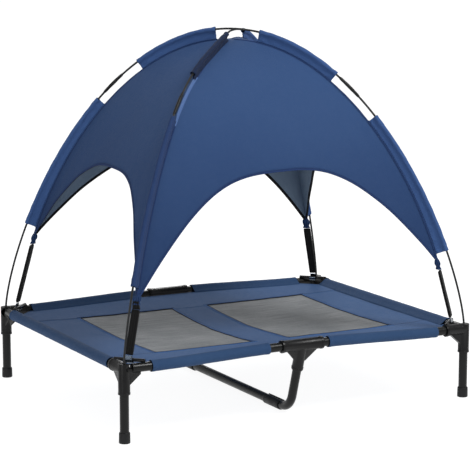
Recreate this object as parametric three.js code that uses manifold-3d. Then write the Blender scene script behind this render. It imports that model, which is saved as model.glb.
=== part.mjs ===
// Raised dog bed on a steel tube frame, with a domed fabric canopy on two crossing poles.
// Millimetres. +X along the bed's long side, +Y towards its back, +Z up, origin on the floor at its middle.
import * as THREE from 'three';
import { mergeVertices } from 'three/addons/utils/BufferGeometryUtils.js';
import Module from 'manifold-3d';

const wasm = await Module();
wasm.setup();

// ---- driving dimensions -------------------------------------------------------------------------
const LEG_X = 454;              // leg axes from the middle, along the long side
const LEG_Y = 356;              // leg axes from the middle, along the short side
const TUBE_R = 10.5;            // legs, rails and centre support
const TUBE_WALL = 1.3;
const FIT = 0.35;               // play of a tube in its socket
const RAIL_Z = 169.5;           // rail axis height at the corners
const RAIL_BOW = 8;             // the long rails rise by this much between a corner and a tee
const TEE_Z = RAIL_Z + RAIL_BOW;
const POST_TOP = 182;           // top of the corner brackets
const POST_BOTTOM = 112;
const POST_R = 13.5;
const ARM_R = 14;               // horizontal sockets of the brackets
const ARM_LENGTH = 55;
const SOCKET_START = 18;        // where a rail socket begins, from the post's axis
const LEG_SOCKET_TOP = 147;
const POLE_HOLE_R = 3.6;
const POLE_HOLE_BOTTOM = 155;
const BRACE_R = 4.2;            // bar across the inside of each corner
const BRACE_REACH = 52;         // where the bar meets each arm, from the post's axis
const BRACE_Z = 183;
const FOOT_R = 13;
const FOOT_HEIGHT = 24.5;
const FOOT_FLOOR = 2.2;
const ROUND = 12;               // sides of a round tube

const TEE_SLOPE = THREE.MathUtils.degToRad(18);  // centre support legs lean in by this much
const TEE_SOCKET_BOTTOM = 115;
const SUPPORT_BAR_Z = 12.8;
const SUPPORT_BEND_R = 50;
const PAD_R = 12.8;
const PAD_FROM = 190;
const PAD_TO = 262;

const CLOTH = 1.6;              // thickness of the soft solids
const SLEEVE_R = 12.5;          // cloth round the rails, outside
const SLEEVE_BORE_R = 11.1;
const SLEEVE_START = 75;        // cloth begins this far from the leg axes
const SHORT_SLEEVE_SHIFT = 20;  // the short sides' sleeves sit this far back
const TEE_CUTOUT = 82;          // half length of the cut-out at each tee bracket
const DECK_EDGE = 11.4;         // deck leaves the rail this far inside its axis
const DECK_DROP = 2.5;          // and this far below it
const DECK_Z = RAIL_Z - DECK_DROP;
const DECK_SAG = 16;
const CORNER_CUT = 72;          // the deck's corners are cut on the line x + y = this, from the leg axis
const WINDOWS = { mesh_left: [-308, -54], mesh_right: [48, 328] };
const WINDOW_Y = 218;

const POLE_R = 2.5;
const POLE_S = Math.hypot(LEG_X, LEG_Y);         // half diagonal between the post holes
const POLE_END_Z = 158;
const POLES = {                                  // height of the top, and how fast the curve falls
  over: { apex: 890, fall: 1.45 },
  under: { apex: 884.2, fall: 1.575 },
};
const SEAM_S = 542;                              // where the panel seams would meet the bed's top
const SEAM_APEX = 864;
const SEAM_FALL = { over: 1.35, under: 1.48 };
const TILT = 19;                                 // the under pole's curve leans back by this much
const TILT_AT = THREE.MathUtils.degToRad(12);    // where it leans most, to either side of the crossing
const FERRULE_R = 4;
const FERRULE_BORE_R = 3.1;
const FERRULE_MIDDLE = THREE.MathUtils.degToRad(30.4);
const FERRULE_HALF = THREE.MathUtils.degToRad(2.65);
const ARCH_MIDDLE = THREE.MathUtils.degToRad(47.9);
const ARCH_POWER = 3.1;
const PANEL_TOP = THREE.MathUtils.degToRad(0.6);
const PANEL_INSET = 1.4;                         // panel edges stay this far from the seam plane
const LOOP_R = 4.6;                              // cloth loop round a pole, outside
const LOOP_BORE_R = 3.5;
const FLAP_HALF = 0.6;                           // half the thickness of the flap from loop to seam
const FLAP_START = 4.3;                          // from the pole's axis
const FLAP_GAP = 2;                              // left between the flap and the seam
const KNOT_R = 4.5;
const KNOT_DROP = 9;
const STRAP_WIDTH = 18.5;
const STRAP_THICK = 6.5;                          // a doubled loop of webbing
const STRAP_GAP = 1.7;                           // clear of the leaning hook plate
const HOOK_WIDTH = 17;
const HOOK_PLATE = 2;
const HOOK_RADIUS = 6.9;                         // the plate's middle, from the brace's axis
const HOOK_TOP = 9;
const HOOK_WRAP = 215;                           // degrees of the bend round the brace

// One entry for each corner: its signs, its pole, where along the diagonal the two pole sleeves begin
// and end (distances from the middle), and the pole angle where the canopy's tip hangs.
const CORNERS = {
  front_left: { x: -1, y: -1, pole: 'under', upper: [20, 213], lower: [320, 529], tip: 71.5 },
  front_right: { x: 1, y: -1, pole: 'over', upper: [72, 260], lower: [355, 532], tip: 71.5 },
  back_right: { x: 1, y: 1, pole: 'under', upper: [78, 240], lower: [340, 524], tip: 68.4 },
  back_left: { x: -1, y: 1, pole: 'over', upper: [36, 230], lower: [330, 518], tip: 68.4 },
};
const QUARTER = { front_left: 0, front_right: 1, back_right: 2, back_left: 3 };

// ---- solids --------------------------------------------------------------------------------------
const UP = new THREE.Vector3(0, 0, 1);
const vec = (x, y, z) => new THREE.Vector3(x, y, z);

function merged(geometry) {
  // One closed, outward-facing skin with shared vertices and no zero-area triangles.
  const bare = geometry.clone();
  for (const name of Object.keys(bare.attributes)) if (name !== 'position') bare.deleteAttribute(name);
  const welded = mergeVertices(bare, 1e-3);
  const from = welded.index.array;
  const p = welded.attributes.position;
  const index = [];
  let volume = 0;
  for (let i = 0; i < from.length; i += 3) {
    const [a, b, c] = [from[i], from[i + 1], from[i + 2]];
    if (a === b || b === c || c === a) continue;
    index.push(a, b, c);
    const [va, vb, vc] = [a, b, c].map((k) => new THREE.Vector3().fromBufferAttribute(p, k));
    volume += va.dot(vb.cross(vc));
  }
  if (volume < 0) index.reverse();
  welded.setIndex(index);
  return welded;
}

function toManifold(geometry) {
  const g = merged(geometry);
  return new wasm.Manifold(new wasm.Mesh({
    numProp: 3,
    vertProperties: Float32Array.from(g.attributes.position.array),
    triVerts: Uint32Array.from(g.index.array),
  }));
}

function fromManifold(solid) {
  const mesh = solid.getMesh();
  const g = new THREE.BufferGeometry();
  const positions = new Float32Array((mesh.vertProperties.length / mesh.numProp) * 3);
  for (let i = 0; i < positions.length / 3; i++) {
    for (let k = 0; k < 3; k++) positions[3 * i + k] = mesh.vertProperties[mesh.numProp * i + k];
  }
  g.setAttribute('position', new THREE.BufferAttribute(positions, 3));
  g.setIndex(Array.from(mesh.triVerts));
  return g;
}

const joined = (pieces) => pieces.map(toManifold).reduce((a, b) => a.add(b));
const carve = (solid, tools) => tools.map(toManifold).reduce((a, b) => a.subtract(b), solid);

function buildGeometry(points, triangles) {
  const g = new THREE.BufferGeometry();
  g.setAttribute('position', new THREE.Float32BufferAttribute(points.flatMap((p) => [p.x, p.y, p.z]), 3));
  g.setIndex(triangles.flat());
  return g;
}

// A section carried along a planar path. "across" is square to the path's plane; the section's x runs
// along it and its y points to the left of travel seen along it. outline and hole are functions of the
// station that return [x, y] points, anticlockwise.
function sweep(path, across, outline, hole) {
  const stations = path.length;
  const points = [];
  const triangles = [];
  const holed = hole !== undefined;
  const sizeOut = outline(0).length;
  const size = sizeOut + (holed ? hole(0).length : 0);
  path.forEach((at, i) => {
    const ahead = path[Math.min(i + 1, stations - 1)].clone().sub(path[Math.max(i - 1, 0)]);
    if (i > 0 && i < stations - 1) {
      ahead.copy(path[i + 1].clone().sub(at).normalize().add(at.clone().sub(path[i - 1]).normalize()));
    }
    const side = ahead.normalize().clone().cross(across).normalize();
    const section = holed ? [...outline(i), ...hole(i).reverse()] : outline(i);
    for (const [x, y] of section) {
      points.push(at.clone().addScaledVector(across, x).addScaledVector(side, y));
    }
  });
  const loops = holed ? [[0, sizeOut], [sizeOut, size - sizeOut]] : [[0, sizeOut]];
  for (let i = 0; i + 1 < stations; i++) {
    for (const [start, count] of loops) {
      for (let j = 0; j < count; j++) {
        const a = i * size + start + j;
        const b = i * size + start + ((j + 1) % count);
        triangles.push([a, b, b + size], [a, b + size, a + size]);
      }
    }
  }
  for (const [station, flip] of [[0, true], [stations - 1, false]]) {
    const out = outline(station).map(([x, y]) => new THREE.Vector2(x, y));
    const cut = holed ? hole(station).reverse().map(([x, y]) => new THREE.Vector2(x, y)) : [];
    const all = [...out, ...cut];
    for (const [a, b, c] of THREE.ShapeUtils.triangulateShape(out, holed ? [cut] : [])) {
      const area = (all[b].x - all[a].x) * (all[c].y - all[a].y) - (all[c].x - all[a].x) * (all[b].y - all[a].y);
      const t = (area > 0) === flip ? [a, c, b] : [a, b, c];
      triangles.push(t.map((k) => k + station * size));
    }
  }
  return buildGeometry(points, triangles);
}

const ring = (radius, sides = ROUND) => Array.from({ length: sides }, (_, i) => {
  const angle = (2 * Math.PI * (i + 0.5)) / sides;
  return [radius * Math.cos(angle), radius * Math.sin(angle)];
});

// A straight tube or rod between two points.
function tube(from, to, radius, bore, sides = ROUND) {
  const along = to.clone().sub(from).normalize();
  const across = (Math.abs(along.z) > 0.9 ? vec(1, 0, 0) : UP.clone()).cross(along).normalize();
  return sweep([from, to], across, () => ring(radius, sides), bore ? () => ring(bore, sides) : undefined);
}

// A sheet between an outer and an inner grid of points, closed along its four edges.
function sheet(columns, rows, outer, inner) {
  const points = [];
  const at = (i, j) => 2 * (j * (columns + 1) + i);
  for (let j = 0; j <= rows; j++) {
    for (let i = 0; i <= columns; i++) points.push(outer(i, j), inner(i, j));
  }
  const triangles = [];
  for (let j = 0; j < rows; j++) {
    for (let i = 0; i < columns; i++) {
      const [a, b, c, d] = [at(i, j), at(i + 1, j), at(i + 1, j + 1), at(i, j + 1)];
      triangles.push([a, b, c], [a, c, d], [a + 1, c + 1, b + 1], [a + 1, d + 1, c + 1]);
    }
  }
  const edge = [];
  for (let i = 0; i < columns; i++) edge.push([at(i, 0), at(i + 1, 0)], [at(i + 1, rows), at(i, rows)]);
  for (let j = 0; j < rows; j++) edge.push([at(columns, j), at(columns, j + 1)], [at(0, j + 1), at(0, j)]);
  for (const [a, b] of edge) triangles.push([b, a, a + 1], [b, a + 1, b + 1]);
  return buildGeometry(points, triangles);
}

function block(x, y, z, sx, sy, sz) {
  return new THREE.BoxGeometry(sx, sy, sz).translate(x, y, z);
}

function turned(profile, sides = ROUND) {
  const lathe = new THREE.LatheGeometry(profile.map(([r, z]) => new THREE.Vector2(r, z)), sides);
  return lathe.rotateY(Math.PI / sides).rotateX(Math.PI / 2);
}

// A flat web with its outline in the plane of "side" and Z, centred on the axis.
function web(outline, thickness) {
  const shape = new THREE.Shape(outline.map(([x, z]) => new THREE.Vector2(x, z)));
  const plate = new THREE.ExtrudeGeometry(shape, { depth: thickness, bevelEnabled: false });
  return plate.translate(0, 0, -thickness / 2).rotateX(Math.PI / 2);
}

// ---- materials and placing -----------------------------------------------------------------------
const bed = new THREE.Group();
const PLASTIC = { color: 0x252729, roughness: 0.55, metalness: 0 };
const STEEL = { color: 0x1f2123, roughness: 0.4, metalness: 0.3 };
const RUBBER = { color: 0x2b2d2f, roughness: 0.7, metalness: 0 };
const BLUE = { color: 0x33507f, roughness: 0.85, metalness: 0 };
const MESH_GREY = { color: 0x6f7577, roughness: 0.9, metalness: 0 };
const WEBBING = { color: 0x1c1d1f, roughness: 0.85, metalness: 0 };
const CHROME = { color: 0xb8bcc0, roughness: 0.25, metalness: 1 };

function place(name, geometry, look, at = [0, 0, 0], turn = 0) {
  const mesh = new THREE.Mesh(merged(geometry), new THREE.MeshStandardMaterial(look));
  mesh.name = name;
  mesh.position.set(...at);
  mesh.rotation.z = turn;
  bed.add(mesh);
}

// ---- bed frame -----------------------------------------------------------------------------------
// The bracket's own frame has the post's axis at the origin and its arms along +X and +Y.
function cornerBracket() {
  const post = turned([[0, POST_BOTTOM], [POST_R - 0.8, POST_BOTTOM], [POST_R + 0.6, POST_BOTTOM + 4],
    [POST_R, POST_BOTTOM + 9], [POST_R, POST_TOP], [0, POST_TOP]]);
  const arm = tube(vec(0, 0, RAIL_Z), vec(ARM_LENGTH, 0, RAIL_Z), ARM_R);
  const rim = tube(vec(ARM_LENGTH - 6, 0, RAIL_Z), vec(ARM_LENGTH, 0, RAIL_Z), ARM_R + 1);
  const gusset = web([[POST_R - 3, 134], [36, 156], [36, RAIL_Z], [POST_R - 3, RAIL_Z]], 15);
  const quarter = (g) => g.clone().rotateZ(Math.PI / 2);
  const swung = [arm, rim, gusset];
  const brace = tube(vec(BRACE_REACH, 0, BRACE_Z), vec(0, BRACE_REACH, BRACE_Z), BRACE_R, 0, 12);
  const socket = tube(vec(SOCKET_START, 0, RAIL_Z), vec(ARM_LENGTH + 5, 0, RAIL_Z), TUBE_R + FIT);
  const body = joined([post, brace, ...swung, ...swung.map(quarter)]);
  return fromManifold(carve(body, [
    socket,
    quarter(socket),
    tube(vec(0, 0, POST_BOTTOM - 5), vec(0, 0, LEG_SOCKET_TOP), TUBE_R + FIT),
    tube(vec(0, 0, POLE_HOLE_BOTTOM), vec(0, 0, POST_TOP + 5), POLE_HOLE_R, 0, 12),
  ]));
}

function footCap() {
  return turned([[0, 0], [FOOT_R - 0.8, 0], [FOOT_R, 0.8], [FOOT_R, 5], [FOOT_R - 0.4, FOOT_HEIGHT - 1.5],
    [FOOT_R - 1.2, FOOT_HEIGHT], [TUBE_R + FIT, FOOT_HEIGHT], [TUBE_R + FIT, FOOT_FLOOR], [0, FOOT_FLOOR]]);
}

// The tee's own frame has the rail's axis along X through the origin and the bed's inside towards +Y.
function teeBracket() {
  const down = vec(0, Math.sin(TEE_SLOPE), -Math.cos(TEE_SLOPE));
  const reach = (TEE_Z - TEE_SOCKET_BOTTOM) / Math.cos(TEE_SLOPE);
  const along = (d) => down.clone().multiplyScalar(d);
  const rimAt = (side) => tube(vec(side * (ARM_LENGTH - 6), 0, 0), vec(side * ARM_LENGTH, 0, 0), ARM_R + 1);
  const gusset = web([[-42, -9], [42, -9], [13, -40], [-13, -40]].reverse(), 16).rotateX(TEE_SLOPE);
  const boreAt = (side) => tube(vec(side * 4, 0, 0), vec(side * (ARM_LENGTH + 5), 0, 0), TUBE_R + FIT);
  const body = joined([
    tube(vec(-ARM_LENGTH, 0, 0), vec(ARM_LENGTH, 0, 0), ARM_R),
    rimAt(1),
    rimAt(-1),
    tube(along(0), along(reach), POST_R),
    tube(along(reach - 7), along(reach - 1.5), POST_R + 0.8),
    gusset,
  ]);
  return fromManifold(carve(body, [boreAt(1), boreAt(-1), tube(along(16), along(reach + 5), TUBE_R + FIT)]));
}

function centreSupport() {
  // Half of the U's centreline, from the front tee's socket to the start of the straight bar.
  const lean = Math.PI / 2 - TEE_SLOPE;
  const foot = -LEG_Y + (TEE_Z - SUPPORT_BAR_Z) * Math.tan(TEE_SLOPE);
  const barStart = foot + SUPPORT_BEND_R * Math.tan(lean / 2);
  const top = 17.5;
  const half = [vec(0, -LEG_Y + top * Math.sin(TEE_SLOPE), TEE_Z - top * Math.cos(TEE_SLOPE))];
  const steps = 5;
  for (let i = 0; i <= steps; i++) {
    const angle = lean * (1 - i / steps);
    half.push(vec(0, barStart - SUPPORT_BEND_R * Math.sin(angle),
      SUPPORT_BAR_Z + SUPPORT_BEND_R * (1 - Math.cos(angle))));
  }
  const otherHalf = half.map((p) => vec(0, -p.y, p.z)).reverse();
  return sweep([...half, ...otherHalf], vec(1, 0, 0), () => ring(TUBE_R), () => ring(TUBE_R - TUBE_WALL));
}

// A clip that snaps on to the bar from below, open along the top, with a flat tread.
function supportPad() {
  const opening = THREE.MathUtils.degToRad(50);
  const steps = 12;
  const arc = (radius, i) => {
    const angle = Math.PI / 2 + opening / 2 + ((2 * Math.PI - opening) * i) / steps;
    return [radius * Math.cos(angle), Math.max(radius * Math.sin(angle), -SUPPORT_BAR_Z)];
  };
  const outside = Array.from({ length: steps + 1 }, (_, i) => arc(PAD_R + 0.3, i));
  const inside = Array.from({ length: steps + 1 }, (_, i) => arc(TUBE_R + FIT, steps - i));
  const section = [...outside, ...inside];
  return sweep([vec(0, PAD_FROM, SUPPORT_BAR_Z), vec(0, PAD_TO, SUPPORT_BAR_Z)], vec(-1, 0, 0), () => section);
}

for (const [corner, { x, y }] of Object.entries(CORNERS)) {
  const at = [x * LEG_X, y * LEG_Y, 0];
  place(`corner_bracket_${corner}`, cornerBracket(), PLASTIC, at, (QUARTER[corner] * Math.PI) / 2);
  const leg = tube(vec(0, 0, FOOT_FLOOR + 0.4), vec(0, 0, LEG_SOCKET_TOP - 0.5), TUBE_R, TUBE_R - TUBE_WALL);
  place(`leg_tube_${corner}`, leg, STEEL, at);
  place(`foot_cap_${corner}`, footCap(), RUBBER, at);
}

// A tube along a long rail's axis, level in its sockets and rising from the corner to the tee.
const railZ = (x) => TEE_Z - RAIL_BOW * THREE.MathUtils.smoothstep(Math.abs(x), ARM_LENGTH, LEG_X - ARM_LENGTH);
function bowedTube(from, to, side, radius, bore) {
  const edges = [from, to].map(Math.abs).sort((a, b) => a - b);
  const bends = Array.from({ length: 9 }, (_, i) => ARM_LENGTH + ((LEG_X - 2 * ARM_LENGTH) * i) / 8);
  const reaches = [edges[0], ...bends.filter((d) => d > edges[0] + 2 && d < edges[1] - 2), edges[1]];
  const path = reaches.map((d) => vec(Math.sign(to) * d, side * LEG_Y, railZ(d)));
  return sweep(path, vec(0, 1, 0), () => ring(radius), () => ring(bore));
}

const railEnd = SOCKET_START + 0.5;
for (const [side, y] of [['front', -1], ['back', 1]]) {
  place(`tee_bracket_${side}`, teeBracket(), PLASTIC, [0, y * LEG_Y, TEE_Z], y > 0 ? Math.PI : 0);
  for (const [half, x] of [['left', -1], ['right', 1]]) {
    place(`${side}_rail_${half}`, bowedTube(x * 4.5, x * (LEG_X - railEnd), y, TUBE_R, TUBE_R - TUBE_WALL), STEEL);
  }
  place(`support_pad_${side}`, supportPad(), RUBBER, [0, 0, 0], y > 0 ? 0 : Math.PI);
}
for (const [side, x] of [['left', -1], ['right', 1]]) {
  const rail = tube(vec(x * LEG_X, railEnd - LEG_Y, RAIL_Z), vec(x * LEG_X, LEG_Y - railEnd, RAIL_Z),
    TUBE_R, TUBE_R - TUBE_WALL);
  place(`${side}_rail`, rail, STEEL);
}
place('centre_support', centreSupport(), STEEL);

// ---- sleeping surface ----------------------------------------------------------------------------
const deckHalfX = LEG_X - DECK_EDGE;
const deckHalfY = LEG_Y - DECK_EDGE;
function deckZ(x, y) {
  const slackX = 1 - Math.abs(x / deckHalfX) ** 2.5;
  const slackY = 1 - Math.abs(y / deckHalfY) ** 1.3;
  return DECK_Z - DECK_SAG * slackX * slackY + (railZ(x) - RAIL_Z) * Math.abs(y / deckHalfY) ** 3;
}

function deckPatch(fromX, toX, fromY, toY, columns, rows, thickness) {
  const at = (i, j, drop) => {
    const x = fromX + ((toX - fromX) * i) / columns;
    const y = fromY + ((toY - fromY) * j) / rows;
    return vec(x, y, deckZ(x, y) - drop);
  };
  return sheet(columns, rows, (i, j) => at(i, j, 0), (i, j) => at(i, j, thickness));
}

function bedCover() {
  const deck = deckPatch(-deckHalfX, deckHalfX, -deckHalfY, deckHalfY, 12, 8, CLOTH);
  const sleeve = (from, to) => tube(from, to, SLEEVE_R, SLEEVE_BORE_R);
  const sleeves = [];
  const cuts = [];
  for (const y of [-1, 1]) {
    for (const x of [-1, 1]) {
      sleeves.push(bowedTube(x * TEE_CUTOUT, x * (LEG_X - SLEEVE_START), y, SLEEVE_R, SLEEVE_BORE_R));
      const reach = 80;
      const corner = block(0, 0, RAIL_Z, 2 * reach, 2 * reach, 60).rotateZ(Math.PI / 4);
      const middle = CORNER_CUT / 2 - reach / Math.SQRT2;
      cuts.push(corner.translate(x * (LEG_X - middle), y * (LEG_Y - middle), 0));
    }
    cuts.push(block(0, y * (LEG_Y - 1), RAIL_Z, 2 * TEE_CUTOUT, 36, 60));
  }
  for (const x of [-1, 1]) {
    const [front, back] = [-1, 1].map((end) => end * (LEG_Y - SLEEVE_START) + SHORT_SLEEVE_SHIFT);
    sleeves.push(sleeve(vec(x * LEG_X, front, RAIL_Z), vec(x * LEG_X, back, RAIL_Z)));
  }
  for (const [from, to] of Object.values(WINDOWS)) {
    cuts.push(block((from + to) / 2, 0, RAIL_Z - 10, to - from, 2 * WINDOW_Y, 80));
  }
  return fromManifold(sleeves.map(toManifold).reduce((a, b) => a.add(b), carve(toManifold(deck), cuts)));
}

place('bed_cover', bedCover(), BLUE);
for (const [name, [from, to]] of Object.entries(WINDOWS)) {
  const patch = deckPatch(from + 0.5, to - 0.5, 0.5 - WINDOW_Y, WINDOW_Y - 0.5, 4, 6, CLOTH);
  place(name, patch, MESH_GREY);
}

// ---- canopy --------------------------------------------------------------------------------------
const degrees = THREE.MathUtils.degToRad;
const outwards = ({ x, y }) => vec(x * LEG_X, y * LEG_Y, 0).divideScalar(POLE_S);
const onDiagonal = (corner, s, z) => outwards(corner).multiplyScalar(s).setZ(z);
const angleAt = (s, span) => Math.asin(s / span);

// The under pole and its seams sit higher behind the crossing and lower in front of it.
function tilt(corner, angle) {
  if (corner.pole === 'over') return 0;
  const part = angle / TILT_AT;
  return corner.y * TILT * part * Math.exp((1 - part * part) / 2);
}

function polePoint(corner, angle) {
  const { apex, fall } = POLES[corner.pole];
  const height = (apex - POST_TOP) * Math.cos(angle) ** fall + tilt(corner, angle);
  return onDiagonal(corner, POLE_S * Math.sin(angle), POST_TOP + height);
}

function seamPoint(corner, angle) {
  const height = (SEAM_APEX - POST_TOP) * Math.cos(angle) ** SEAM_FALL[corner.pole] + tilt(corner, angle);
  return onDiagonal(corner, SEAM_S * Math.sin(angle), POST_TOP + height);
}

// Pole points from one angle to another, about 25 mm apart.
function poleRun(corner, from, to) {
  const steps = Math.max(2, Math.round(Math.abs(to - from) / degrees(2.6)));
  return Array.from({ length: steps + 1 }, (_, i) => polePoint(corner, from + ((to - from) * i) / steps));
}

// Shortest distance from a pole point to the seam curve below it.
function distanceToSeam(corner, point) {
  const tenths = Array.from({ length: 901 }, (_, i) => degrees(i / 10));
  return Math.min(...tenths.map((angle) => seamPoint(corner, angle).distanceTo(point)));
}

function poleSleeve(corner, [from, to]) {
  const path = poleRun(corner, angleAt(to, POLE_S), angleAt(from, POLE_S));
  const outline = (i) => {
    const reach = distanceToSeam(corner, path[i]) - FLAP_GAP;
    const loop = [140, 192, 244, 296, 348, 400].map(degrees).map((a) => [LOOP_R * Math.cos(a), LOOP_R * Math.sin(a)]);
    return [[FLAP_HALF, reach], [-FLAP_HALF, reach], [-FLAP_HALF, FLAP_START], ...loop, [FLAP_HALF, FLAP_START]];
  };
  return sweep(path, UP.clone().cross(outwards(corner)), outline, () => ring(LOOP_BORE_R, 6));
}

for (const [name, corner] of Object.entries(CORNERS)) {
  const across = UP.clone().cross(outwards(corner));
  const lower = poleRun(corner, Math.PI / 2, FERRULE_MIDDLE + degrees(0.04));
  lower.unshift(onDiagonal(corner, POLE_S, POLE_END_Z));
  place(`pole_lower_${name}`, sweep(lower, across, () => ring(POLE_R, 6)), STEEL);
  const joint = poleRun(corner, FERRULE_MIDDLE + FERRULE_HALF, FERRULE_MIDDLE - FERRULE_HALF);
  const ferrule = sweep(joint, across, () => ring(FERRULE_R, 8), () => ring(FERRULE_BORE_R, 8));
  place(`pole_ferrule_${name}`, ferrule, STEEL);
  place(`pole_sleeve_upper_${name}`, poleSleeve(corner, corner.upper), BLUE);
  place(`pole_sleeve_lower_${name}`, poleSleeve(corner, corner.lower), BLUE);
}
for (const name of ['front_left', 'back_left']) {
  const corner = CORNERS[name];
  const end = FERRULE_MIDDLE - degrees(0.04);
  const centre = sweep(poleRun(corner, end, -end), UP.clone().cross(outwards(corner)), () => ring(POLE_R, 6));
  place(`pole_centre_${corner.pole}`, centre, STEEL);
}

// A panel hangs between two neighbouring seams. Its rows join points of equal angle on the two seams,
// and its lower edge is an arch from tip to tip.
function canopyPanel(left, right) {
  const columns = 10;
  const rows = 7;
  const point = (i, j) => {
    const u = 0.5 - 0.5 * Math.cos((Math.PI * i) / columns);
    const tip = degrees(u < 0.5 ? left.tip : right.tip);
    const edge = ARCH_MIDDLE + (tip - ARCH_MIDDLE) * Math.abs(2 * u - 1) ** ARCH_POWER;
    const angle = PANEL_TOP + ((edge - PANEL_TOP) * j) / rows;
    const a = seamPoint(left.corner, angle).addScaledVector(left.inset, PANEL_INSET);
    const b = seamPoint(right.corner, angle).addScaledVector(right.inset, PANEL_INSET);
    return a.lerp(b, u);
  };
  const inward = (i, j) => {
    const acrossPanel = point(Math.min(i + 1, columns), j).sub(point(Math.max(i - 1, 0), j));
    const downPanel = point(i, Math.min(j + 1, rows)).sub(point(i, Math.max(j - 1, 0)));
    return acrossPanel.cross(downPanel).normalize().multiplyScalar(CLOTH);
  };
  return sheet(columns, rows, point, (i, j) => point(i, j).add(inward(i, j)));
}

const PANELS = {
  front: ['front_left', 'front_right'],
  right: ['front_right', 'back_right'],
  back: ['back_right', 'back_left'],
  left: ['back_left', 'front_left'],
};
for (const [name, [a, b]] of Object.entries(PANELS)) {
  const insetOf = (corner, sign) => UP.clone().cross(outwards(corner)).multiplyScalar(sign);
  const left = { corner: CORNERS[a], tip: CORNERS[a].tip, inset: insetOf(CORNERS[a], 1) };
  const right = { corner: CORNERS[b], tip: CORNERS[b].tip, inset: insetOf(CORNERS[b], -1) };
  place(`canopy_panel_${name}`, canopyPanel(left, right), BLUE);
}

// ---- straps --------------------------------------------------------------------------------------
// A webbing strap runs from a knot under each canopy tip down to a bent metal hook round the brace.
function hookPath(brace, out, up) {
  // From the strap's end down past the bar's inner side, then under it and up its outer side.
  const path = [[HOOK_TOP, -HOOK_RADIUS], [HOOK_TOP / 2, -HOOK_RADIUS]];
  const steps = 9;
  for (let i = 0; i <= steps; i++) {
    const angle = degrees((HOOK_WRAP * i) / steps);
    path.push([-HOOK_RADIUS * Math.sin(angle), -HOOK_RADIUS * Math.cos(angle)]);
  }
  return path.map(([u, o]) => brace.clone().addScaledVector(up, u).addScaledVector(out, o));
}

for (const [name, corner] of Object.entries(CORNERS)) {
  const post = vec(corner.x * LEG_X, corner.y * LEG_Y, 0);
  const inwards = vec(-corner.x, -corner.y, 0).normalize();
  const brace = post.addScaledVector(inwards, BRACE_REACH / Math.SQRT2).setZ(BRACE_Z);
  const barAxis = UP.clone().cross(inwards);
  const knot = seamPoint(corner, degrees(corner.tip)).add(vec(0, 0, -KNOT_DROP));
  const rise = knot.clone().sub(brace);
  const up = rise.addScaledVector(barAxis, -rise.dot(barAxis)).normalize();
  const out = up.clone().cross(barAxis).multiplyScalar(-1);
  const plate = (width, thick) => [[width / 2, -thick / 2], [width / 2, thick / 2], [-width / 2, thick / 2],
    [-width / 2, -thick / 2]];
  const path = hookPath(brace, out, up);
  place(`strap_hook_${name}`, sweep(path, barAxis, () => plate(HOOK_WIDTH, HOOK_PLATE)), CHROME);
  place(`tie_knot_${name}`, new THREE.IcosahedronGeometry(KNOT_R, 1), BLUE, knot.toArray());
  const toKnot = knot.clone().sub(path[0]);
  const along = toKnot.clone().normalize();
  const length = toKnot.length();
  const stations = [STRAP_GAP, length / 3, (2 * length) / 3, length - KNOT_R - 1];
  const strap = stations.map((d) => path[0].clone().addScaledVector(along, d));
  const square = barAxis.clone().addScaledVector(along, -barAxis.dot(along)).normalize();
  place(`strap_${name}`, sweep(strap, square, () => plate(STRAP_WIDTH, STRAP_THICK)), WEBBING);
}

export default bed;
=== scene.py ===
from itertools import accumulate
from math import acos, asin, atan2, ceil, copysign, cos, dist, exp, hypot, pi, radians, sin, sqrt, tan

import bmesh
import bpy
from mathutils import Matrix, Vector, noise


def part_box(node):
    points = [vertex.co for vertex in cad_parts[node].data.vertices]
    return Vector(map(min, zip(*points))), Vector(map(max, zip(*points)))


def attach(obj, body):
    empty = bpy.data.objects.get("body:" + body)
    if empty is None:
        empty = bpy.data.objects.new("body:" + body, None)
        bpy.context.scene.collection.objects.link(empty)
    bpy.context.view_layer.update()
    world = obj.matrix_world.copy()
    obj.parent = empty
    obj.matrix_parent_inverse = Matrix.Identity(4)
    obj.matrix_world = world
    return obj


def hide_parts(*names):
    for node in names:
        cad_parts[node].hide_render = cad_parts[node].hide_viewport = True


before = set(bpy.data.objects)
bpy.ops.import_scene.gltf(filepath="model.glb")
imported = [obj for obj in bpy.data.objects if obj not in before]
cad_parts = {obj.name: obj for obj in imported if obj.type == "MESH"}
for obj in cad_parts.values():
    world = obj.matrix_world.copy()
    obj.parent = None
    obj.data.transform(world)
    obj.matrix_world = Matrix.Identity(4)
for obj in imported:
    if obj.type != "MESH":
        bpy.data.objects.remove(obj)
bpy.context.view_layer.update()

MM = 0.001
RIGHT, BACK, UP = Vector((1, 0, 0)), Vector((0, 1, 0)), Vector((0, 0, 1))


def middle(node):
    low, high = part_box(node)
    return (Vector(low) + Vector(high)) / 2


def placed(name, data):
    """A new object in the scene that shows this mesh, light, curve or camera."""
    made = bpy.data.objects.new(name, data)
    bpy.context.scene.collection.objects.link(made)
    return made


def uneven(x, y, z):
    """Smooth noise between -1 and 1."""
    return noise.noise(Vector((x, y, z)))


def smooth(value, low, high):
    """0 up to low, 1 from high on, and an eased step between them."""
    t = min(1.0, max(0.0, (value - low) / (high - low)))
    return t * t * (3 - 2 * t)


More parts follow.
